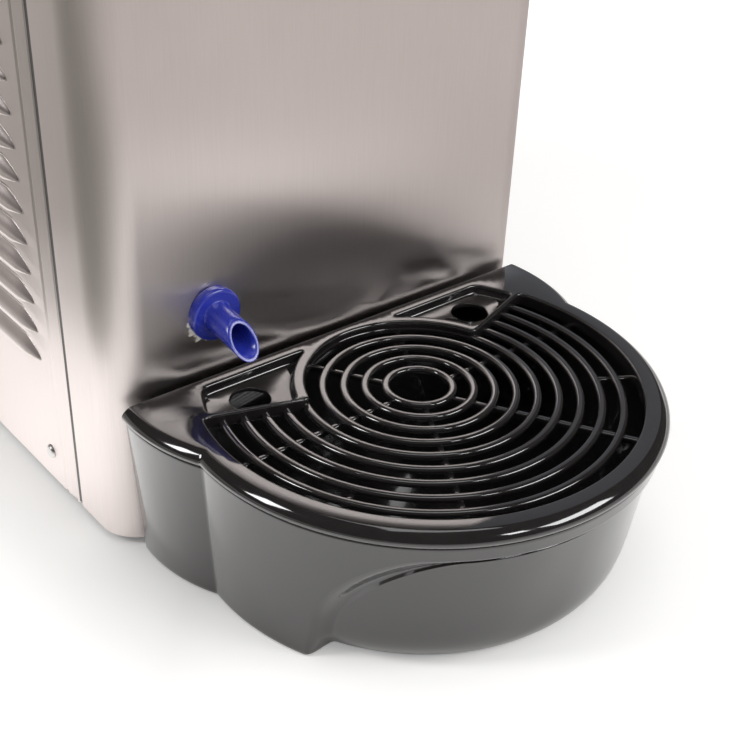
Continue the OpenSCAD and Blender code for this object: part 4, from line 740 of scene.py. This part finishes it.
class DrainSpout(bpy.types.Operator):
    """The drain spout: round flange, sloping tube with a slanted mouth, and sealant under the flange"""

    bl_idname = "slush.drain_spout"
    bl_label = "Drain spout"

    def execute(self, context):
        x0, z0, reach, outer, bore, lip = -74.5, 116.5, 25.0, 7.0, 5.2, 0.5
        tilt, lean = math.radians(8), math.tan(math.radians(48))
        dirs = [math.radians(360 * k / 72) for k in range(72)]
        # Flange: radius and distance before the panel. A rounded edge, a flat face and a neck
        flange = [(12.4, 0.0), (13.0, 0.6), (13.0, 3.4)]
        flange += arc(11.2, 3.4, 1.8, 15, 90, 5)
        flange += [(10.2, 5.2), (7.9, 5.2), (7.6, 5.22), (7.3, 5.34), (7.1, 5.6)]
        rings = [[(x0 + r * math.cos(a), -out, z0 + r * math.sin(a)) for a in dirs] for r, out in flange]

        def on_tube(r, along, a, share):
            """A point of the tube: a is measured from its side, with a share of the mouth's slant"""
            up = r * math.sin(a)
            along = along - lean * share * up
            return (x0 + r * math.cos(a), -1 - along * math.cos(tilt) - up * math.sin(tilt),
                    z0 - along * math.sin(tilt) + up * math.cos(tilt))

        # Along the tube and back inside it: distance, radius and share of the mouth's slant
        section = [(5.4, outer, 0), (8, outer, 0), (12, outer, 0.3), (17, outer, 0.7)]
        section += [(reach - 2.5, outer, 1), (reach - lip, outer, 1), (reach - 0.15, outer - 0.15, 1)]
        section += [(reach, outer - lip, 1), (reach, bore + lip, 1), (reach - 0.15, bore + 0.15, 1)]
        section += [(reach - lip, bore, 1), (reach - 4, bore, 1), (12, bore, 0.3), (4, bore, 0)]
        for along, r, share in section:
            rings.append([on_tube(r, along, a, share) for a in dirs])
        shape = loft(rings, caps=True)
        piece("drain_spout_moulding", shape, at_front, "blue_plastic", "cabinet", ["drain_spout"], 40)
        # A thin crust of sealant, squeezed out under the flange's lower left: its waves give size, pace and
        # lag, and its bead gives shares of its width and height
        waves = ((0.5, 0.23, 0.4), (0.35, 0.51, 2), (0.2, 0.97, 0))
        bead = ((0, 0), (0, 1.6), (0.35, 1.3), (0.7, 0.75), (0.92, 0.35), (1, 0))
        crust, stations = [], 96
        for i in range(stations + 1):
            t = i / stations
            a = math.radians(188 + 74 * t)
            lumps = sum((size * math.sin(i * pace + lag) for size, pace, lag in waves), 0.6)
            fat = math.sin(math.pi * t) ** 0.5 * max(lumps, 0.05)
            width, high = 0.5 + 2.0 * fat, 0.15 + 1.0 * fat
            line = [(12.6 + u * width, 0.03 + high * h) for u, h in bead]
            crust.append([(x0 + r * math.cos(a), -out, z0 + r * math.sin(a)) for r, out in line])
        piece("spout_sealant", loft(crust, caps=True), at_front, "sealant", "cabinet", (), 60)
        return {"FINISHED"}


class BowlLid(bpy.types.Operator):
    """The bowl's lid: flange with rounded corners, raised middle with a moulded line, and locating lip"""

    bl_idname = "slush.bowl_lid"
    bl_label = "Bowl lid"

    def execute(self, context):
        first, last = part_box("bowl_lid")
        (x0, y0), (x1, y1) = [(corner[0] / MM, corner[1] / MM) for corner in (first, last)]
        lip = 6
        rim = first[2] / MM + lip
        # Inset from the flange's edge, and height over the bowl's rim
        section = [(17.6, 11), (17, 10.4), (17, -lip), (10.6, -lip), (10, -5.4), (10, 0), (0.4, 0)]
        section += [(0, 0.5), (0, 2.3), (0.2, 2.8), (0.7, 3), (11.6, 3), (12.7, 3.3), (13.4, 4)]
        section += [(13.7, 5.2), (14.2, 11.6), (14.6, 12.9), (15.4, 13.7), (16.6, 14), (23, 14)]
        section += [(23.3, 13.8), (23.7, 13.2), (26.3, 13.2), (26.7, 13.8), (27, 14)]
        rings = []
        for inset, z in section:
            r = 9.0 if inset < 10 else 12.0 - 0.25 * (inset - 10)
            ring = []
            for turn, x, y in ((0, x1, y1), (90, x0, y1), (180, x0, y0), (270, x1, y0)):
                way_x, way_y = (1 if x > x0 else -1), (1 if y > y0 else -1)
                ring += arc(x - way_x * (inset + r), y - way_y * (inset + r), r, turn, turn + 90, 10)
            rings.append(lift(ring, rim + z))
        shape = loft(rings, caps=True)
        piece("bowl_lid_moulding", shape, at_row, "black_plastic", "lid", ["bowl_lid"], 40)
        return {"FINISHED"}


class TapSpring(bpy.types.Operator):
    """The tap's spring: a wound wire under the cap. The real spring shortens as the piston rises; this one
    keeps one length
    """

    bl_idname = "slush.tap_spring"
    bl_label = "Tap spring"

    def execute(self, context):
        wire, turns = 0.8 * MM, 6.0
        first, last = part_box("tap_spring")
        high = last[2] - first[2]
        foot = ((first[0] + last[0]) / 2, (first[1] + last[1]) / 2, first[2] + wire)
        tree, source, out = geometry_tree("tap_spring", {
            "Radius": "Float", "Height": "Float", "Turns": "Float", "Wire": "Float"})
        line = add(tree, "GeometryNodeCurveSpiral", {
            "Resolution": 40, "Rotations": source["Turns"], "Start Radius": source["Radius"],
            "End Radius": source["Radius"], "Height": source["Height"]})
        section = add(tree, "GeometryNodeCurvePrimitiveCircle", {
            "Resolution": 10, "Radius": source["Wire"]})
        swept = add(tree, "GeometryNodeCurveToMesh", {
            "Curve": line, "Profile Curve": section, "Fill Caps": True})
        placed = add(tree, "GeometryNodeTransform", {"Geometry": swept, "Translation": foot})
        close_tree(tree, placed, "spring_steel", out)
        mesh = baked("tap_spring_coil", tree, {
            "Radius": (last[0] - first[0]) / 2 - wire, "Height": high - 2 * wire,
            "Turns": turns, "Wire": wire})
        coil = settle(bpy.data.objects.new("tap_spring_coil", mesh), "spring_steel", "bowl", ["tap_spring"])
        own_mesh(coil)
        return {"FINISHED"}


class DialMarks(bpy.types.Operator):
    """Printed marks round the thermostat's knob"""

    bl_idname = "slush.dial_marks"
    bl_label = "Dial marks"

    def execute(self, context):
        first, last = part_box("thermostat_knob")
        plate_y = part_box("control_plate")[0][1]
        middle = ((first[0] + last[0]) / 2, plate_y - 0.05 * MM, (first[2] + last[2]) / 2)
        tree, source, out = geometry_tree("dial_marks", {
            "Count": "Int", "Step": "Float", "Radius": "Float"})
        stroke = add(tree, "GeometryNodeMeshCube", {"Size": (0.7 * MM, 0.2 * MM, 3.0 * MM)})
        away = add(tree, "ShaderNodeCombineXYZ", {"Z": source["Radius"]})
        mark = add(tree, "GeometryNodeTransform", {"Geometry": stroke, "Translation": away})
        places = add(tree, "GeometryNodeMeshLine", {"Count": source["Count"], "Offset": (0, 0, 0)})
        half = add(tree, "ShaderNodeMath", {0: source["Count"], 1: 1.0}, operation="SUBTRACT")
        half = add(tree, "ShaderNodeMath", {0: half, 1: 2.0}, operation="DIVIDE")
        index = add(tree, "GeometryNodeInputIndex")
        number = add(tree, "ShaderNodeMath", {0: index, 1: half}, operation="SUBTRACT")
        angle = add(tree, "ShaderNodeMath", {0: number, 1: source["Step"]}, operation="MULTIPLY")
        about = add(tree, "ShaderNodeCombineXYZ", {"Y": angle})
        turn = add(tree, "FunctionNodeEulerToRotation", {0: about})
        many = add(tree, "GeometryNodeInstanceOnPoints", {
            "Points": places, "Instance": mark, "Rotation": turn})
        placed = add(tree, "GeometryNodeTransform", {"Geometry": many, "Translation": middle})
        close_tree(tree, placed, "dial_paint", out)
        mesh = baked("dial_marks", tree, {"Count": 11, "Step": math.radians(27), "Radius": 16.2 * MM})
        settle(bpy.data.objects.new("dial_marks", mesh), "dial_paint", "cabinet")
        return {"FINISHED"}


class SolidFinishes(bpy.types.Operator):
    """Finishes and softened edges for the solids that show as they are"""

    bl_idname = "slush.solid_finishes"
    bl_label = "Solids"

    def execute(self, context):
        width = context.scene.machine_sizes.edge_round
        # Faces that differ less than this are one, and edges bent more than this are rounded
        even, bend = math.radians(0.6), math.radians(40)
        slots = {part["node"]: part["material_slot"] for part in frame["record"]["subparts"]}
        # Wound, bent and toothed solids, whose edges are too fine to soften
        fine = {"tap_spring", "evaporator_coil", "discharge_pipe", "liquid_pipe", "suction_pipe",
                "motor_pinion", "drive_gear", "condenser", "auger_spiral"}
        for name, obj in frame["nodes"].items():
            slot = "stainless" if slots[name] == "side_steel" else slots[name]
            obj.data.materials.clear()
            obj.data.materials.append(FINISH[slot])
            weld = obj.modifiers.new("weld", "WELD")
            weld.merge_threshold = WELD
            if name not in fine:
                flat = obj.modifiers.new("flat", "DECIMATE")
                flat.decimate_type = "DISSOLVE"
                flat.angle_limit = even
                soft = obj.modifiers.new("edges", "BEVEL")
                soft.width = width
                soft.segments = 2
                soft.limit_method = "ANGLE"
                soft.angle_limit = bend
                soft.use_clamp_overlap = True
            shade = obj.modifiers.new("shade", "NODES")
            shade.node_group = smooth_tree()
            keep_flat(obj)
        return {"FINISHED"}


def keep_flat(obj):
    """Lets wide faces set the shading at their edges, so that they stay flat beside rounded edges"""
    normals = obj.modifiers.new("normals", "WEIGHTED_NORMAL")
    normals.keep_sharp = True


def smooth_tree():
    """A tree that shades a solid smoothly and keeps its sharp edges"""
    name = "smooth_by_angle"
    if name in bpy.data.node_groups:
        return bpy.data.node_groups[name]
    tree, source, out = geometry_tree(name, {"Geometry": "Geometry"})
    angle = add(tree, "GeometryNodeInputMeshEdgeAngle")
    sharp = add(tree, "ShaderNodeMath", {
        0: angle.outputs["Unsigned Angle"], 1: math.radians(SHARP)}, operation="GREATER_THAN")
    faces = add(tree, "GeometryNodeSetShadeSmooth", {
        "Geometry": source["Geometry"], "Shade Smooth": True}, domain="FACE")
    soft = add(tree, "ShaderNodeMath", {0: 1.0, 1: sharp}, operation="SUBTRACT")
    edges = add(tree, "GeometryNodeSetShadeSmooth", {
        "Geometry": faces, "Shade Smooth": soft}, domain="EDGE")
    tree.links.new(edges.outputs[0], out.inputs[0])
    return tree


def studio_floor(code):
    """Pale floor that keeps the shadows. The camera and mirror-like surfaces see it lifted to white by a
    glow that changes with place: painted shadow round the cabinet's foot and painted reflections
    """
    made, tree = new_material("studio_floor")
    path = add(tree, "ShaderNodeLightPath").outputs
    mirrored = add(tree, "ShaderNodeMath", {
        0: path["Is Glossy Ray"], 1: path["Is Transmission Ray"]}, operation="MAXIMUM")
    # Painted reflection for mirror-like surfaces: no glow on the floor close to the tray, so its shadow
    # stays, a bright glow round it, and a greyer colour farther off
    place = add(tree, "ShaderNodeTexCoord").outputs["Object"]
    away = add(tree, "ShaderNodeVectorMath", {
        0: place, 1: (-0.1, FRONT_Y - 0.08, 0)}, operation="DISTANCE")
    far = add(tree, "ShaderNodeMapRange", {
        "Value": away.outputs["Value"], "From Min": 0.2, "From Max": 0.5})
    grey = add(tree, "ShaderNodeMath", {0: mirrored, 1: far}, operation="MULTIPLY")
    painted_reflection_lift = add(tree, "ShaderNodeMath", {0: mirrored, 1: grey}, operation="SUBTRACT")
    beside = add(tree, "ShaderNodeVectorMath", {0: place, 1: (0, GRID_Y, 0)}, operation="DISTANCE")
    open_floor = add(tree, "ShaderNodeMapRange", {
        "Value": beside.outputs["Value"], "From Min": 0.11, "From Max": 0.2, "To Max": 0.45})
    painted_reflection_lift = add(tree, "ShaderNodeMath", {0: painted_reflection_lift, 1: open_floor}, operation="MULTIPLY")
    # Painted reflection: the floor by the cabinet's left side glows brightest for mirror-like surfaces, so
    # that side reflects it brightest
    spot = add(tree, "ShaderNodeSeparateXYZ", {0: place}).outputs
    left = add(tree, "ShaderNodeMapRange", {
        "Value": spot["X"], "From Min": -0.128, "From Max": -0.133, "To Max": 0.42})
    behind = add(tree, "ShaderNodeMapRange", {
        "Value": spot["Y"], "From Min": FRONT_Y - 0.04, "From Max": FRONT_Y + 0.06})
    left = add(tree, "ShaderNodeMath", {0: left, 1: behind}, operation="MULTIPLY")
    left = add(tree, "ShaderNodeMath", {0: left, 1: mirrored}, operation="MULTIPLY")
    painted_reflection_lift = add(tree, "ShaderNodeMath", {0: painted_reflection_lift, 1: left}, operation="ADD")
    # Painted shadow: the camera sees the floor lifted less round the cabinet's foot, so it stays darker
    # there, and lifted whiter from there on
    foot = add(tree, "ShaderNodeVectorMath", {0: place, 1: (0, 0.055, 0)}, operation="SUBTRACT")
    foot = add(tree, "ShaderNodeVectorMath", {0: foot}, operation="ABSOLUTE")
    foot = add(tree, "ShaderNodeSeparateXYZ", {0: foot}).outputs
    aside = add(tree, "ShaderNodeMapRange", {"Value": foot["X"], "From Min": 0.12, "From Max": 0.18})
    beyond = add(tree, "ShaderNodeMapRange", {"Value": foot["Y"], "From Min": 0.2, "From Max": 0.26})
    clear = add(tree, "ShaderNodeMath", {0: aside, 1: beyond}, operation="MAXIMUM")
    white = add(tree, "ShaderNodeMapRange", {"Value": clear, "To Min": 0.08, "To Max": 0.24})
    distant = add(tree, "ShaderNodeMapRange", {
        "Value": beside.outputs["Value"], "From Min": 0.5, "From Max": 2.0, "To Max": 0.7})
    white = add(tree, "ShaderNodeMath", {0: white, 1: distant}, operation="ADD")
    seen = add(tree, "ShaderNodeMath", {0: path["Is Camera Ray"], 1: white}, operation="MULTIPLY")
    white = add(tree, "ShaderNodeMath", {0: seen, 1: painted_reflection_lift}, operation="ADD")
    tone = add(tree, "ShaderNodeMix", {
        "Factor": grey, "A": linear(code), "B": linear("#CFCAC8")}, data_type="RGBA")
    glow = add(tree, "ShaderNodeEmission", {"Color": (1, 1, 1, 1), "Strength": white})
    ground = add(tree, "ShaderNodeBsdfDiffuse", {"Color": tone.outputs["Result"]})
    both = add(tree, "ShaderNodeAddShader", {0: ground, 1: glow})
    add(tree, "ShaderNodeOutputMaterial", {"Surface": both})
    return made


def card(name, corners, code):
    """A glowing studio card that only mirror-like surfaces see: a painted reflection"""
    mesh = bpy.data.meshes.new(name)
    mesh.from_pydata(corners, [], [(0, 1, 2, 3)])
    made, tree = new_material(name)
    glow = add(tree, "ShaderNodeEmission", {"Color": linear(code), "Strength": 1.0})
    add(tree, "ShaderNodeOutputMaterial", {"Surface": glow})
    mesh.materials.append(made)
    obj = bpy.data.objects.new(name, mesh)
    for rays in ("camera", "diffuse", "transmission", "volume_scatter", "shadow"):
        setattr(obj, "visible_" + rays, False)
    link(obj)


class Stage(bpy.types.Operator):
    """Floor, lights, cards that stand for the room, and the camera at the photograph's place"""

    bl_idname = "slush.stage"
    bl_label = "Stage"

    def execute(self, context):
        scene = context.scene
        scene.view_settings.view_transform = "Standard"
        mesh = bpy.data.meshes.new("floor")
        half, level = 4, -0.0002
        corners = [(half * x, half * y, level) for x, y in ((-1, -1), (1, -1), (1, 1), (-1, 1))]
        mesh.from_pydata(corners, [], [(0, 1, 2, 3)])
        floor = bpy.data.objects.new("floor", mesh)
        link(floor)
        mesh.materials.append(studio_floor(scene.machine_colours.floor))
        world = scene.world or bpy.data.worlds.new("studio")
        scene.world = world
        world.use_nodes = True
        tree = world.node_tree
        tree.nodes.clear()
        path = add(tree, "ShaderNodeLightPath").outputs
        seen = add(tree, "ShaderNodeMath", {
            0: path["Is Camera Ray"], 1: path["Is Glossy Ray"]}, operation="MAXIMUM")
        seen = add(tree, "ShaderNodeMath", {0: seen, 1: path["Is Transmission Ray"]}, operation="MAXIMUM")
        glow = add(tree, "ShaderNodeMix", {"Factor": seen, "A": 0.55, "B": 1.0}, data_type="FLOAT")
        sky = add(tree, "ShaderNodeBackground", {"Color": (1, 1, 1, 1), "Strength": glow})
        add(tree, "ShaderNodeOutputWorld", {"Surface": sky})
        aim = Vector((0, GRID_Y, 0.1))
        for name, place, size, power in (("window", (-1.85, 0.62, 1.66), (0.5, 0.9), 18.0),
                                         ("lamp", (0.12, -1.6, 1.3), (0.26, 0.3), 2.5),
                                         ("softbox", (0.78, -1.33, 1.02), (0.85, 0.46), 10.5),
                                         ("top", (0.1, -0.2, 2.3), (1.2, 1.2), 8.5)):
            light = bpy.data.lights.new(name, "AREA")
            light.shape, light.size, light.size_y, light.energy = "RECTANGLE", size[0], size[1], power
            obj = bpy.data.objects.new(name, light)
            obj.location = place
            obj.rotation_euler = (aim - Vector(place)).to_track_quat("-Z", "Y").to_euler()
            link(obj)
        # Painted reflections of a dim room behind the lights, lighter at its left rear: glowing cards that
        # only mirror-like surfaces see
        dim, low, high, wide, rear = "#4A4745", 0.3, 2.7, 3.0, 1.4
        corners = [(-wide, -wide, high), (wide, -wide, high), (wide, rear, high), (-wide, rear, high)]
        card("dim_ceiling", corners, dim)
        for name, start, end, foot, top, code in (
                ("dim_front", (-wide, -wide), (wide, -wide), low, high, dim),
                ("dim_left", (-wide, -wide), (-wide, rear), low, high, dim),
                ("dim_right", (wide, -wide), (wide, rear), low, high, dim),
                ("pale_rear", (-wide, rear), (-0.4, rear), 0.02, 0.6, "#BDB8B5"),
                ("dim_left_rear", (-wide, rear), (-0.4, rear), 0.6, high, dim),
                ("dim_rear", (-0.4, rear), (wide, rear), 0.02, high, "#8E9096")):
            card(name, [(*start, foot), (*end, foot), (*end, top), (*start, top)], code)
        # Painted reflections of the table: it ends on the left, which shows in the rounded corner as a dark
        # card; behind that it goes on as a pale card
        for name, level, corners, code in (
                ("table_end", 0.001,
                 ((-wide, -0.9), (-0.3, -0.6), (-0.3, 0.09), (-wide, 2.5)), "#85857F"),
                ("table_rear", 0.0015,
                 ((-0.357, 0.18), (-1.24, 1.07), (-0.39, 1.3), (-0.17, 0.27)), "#E8E3E0")):
            card(name, lift(corners, level), code)
        # The camera looks down from before the tray's left, turned a little about its own axis
        turn, rise, roll = math.radians(-40.52), math.radians(31.49), math.radians(2.17)
        look = Vector((-math.sin(turn) * math.cos(rise), math.cos(turn) * math.cos(rise), -math.sin(rise)))
        right = Vector((math.cos(turn), math.sin(turn), 0))
        up = right.cross(look)
        along, across = math.cos(roll), math.sin(roll)
        right, up = right * along + up * across, up * along - right * across
        eye = bpy.data.cameras.new("camera")
        eye.sensor_fit, eye.sensor_width, eye.lens, eye.clip_end = "HORIZONTAL", 36, 59.95, 50
        camera = bpy.data.objects.new("camera", eye)
        place = Matrix((right, up, -look)).transposed().to_4x4()
        place.translation = Vector(at_grid(-336.3, -354.1, 389))
        camera.matrix_world = place
        link(camera)
        scene.camera = camera
        return {"FINISHED"}


PIECES = (SolidFinishes, FrontPanel, SidePanels, TrayBasin, GridFrame,
          DrainSpout, BowlLid, TapSpring, DialMarks)


class MachinePanel(bpy.types.Panel):
    """Lists the machine's pieces"""

    bl_idname = "VIEW3D_PT_slush_machine"
    bl_label = "Slush machine"
    bl_space_type = "VIEW_3D"
    bl_region_type = "UI"
    bl_category = "Slush machine"

    def draw(self, context):
        for group in (context.scene.machine_sizes, context.scene.machine_colours):
            for key in group.bl_rna.properties.keys():
                if key not in ("rna_type", "name"):
                    self.layout.prop(group, key)
        for operator in PIECES + (Stage,):
            self.layout.operator(operator.bl_idname)


CLASSES = (MachineSizes, MachineColours) + PIECES + (Stage, MachinePanel)


def register():
    for cls in CLASSES:
        bpy.utils.register_class(cls)
    bpy.types.Scene.machine_sizes = bpy.props.PointerProperty(type=MachineSizes)
    bpy.types.Scene.machine_colours = bpy.props.PointerProperty(type=MachineColours)


def unregister():
    del bpy.types.Scene.machine_colours
    del bpy.types.Scene.machine_sizes
    for cls in reversed(CLASSES):
        bpy.utils.unregister_class(cls)


def main():
    register()
    FINISH.update(make_finishes(bpy.context.scene.machine_colours))
    for operator in PIECES + (Stage,):
        group, name = operator.bl_idname.split(".")
        getattr(getattr(bpy.ops, group), name)()
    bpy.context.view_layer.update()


if __name__ == "__main__":
    main()
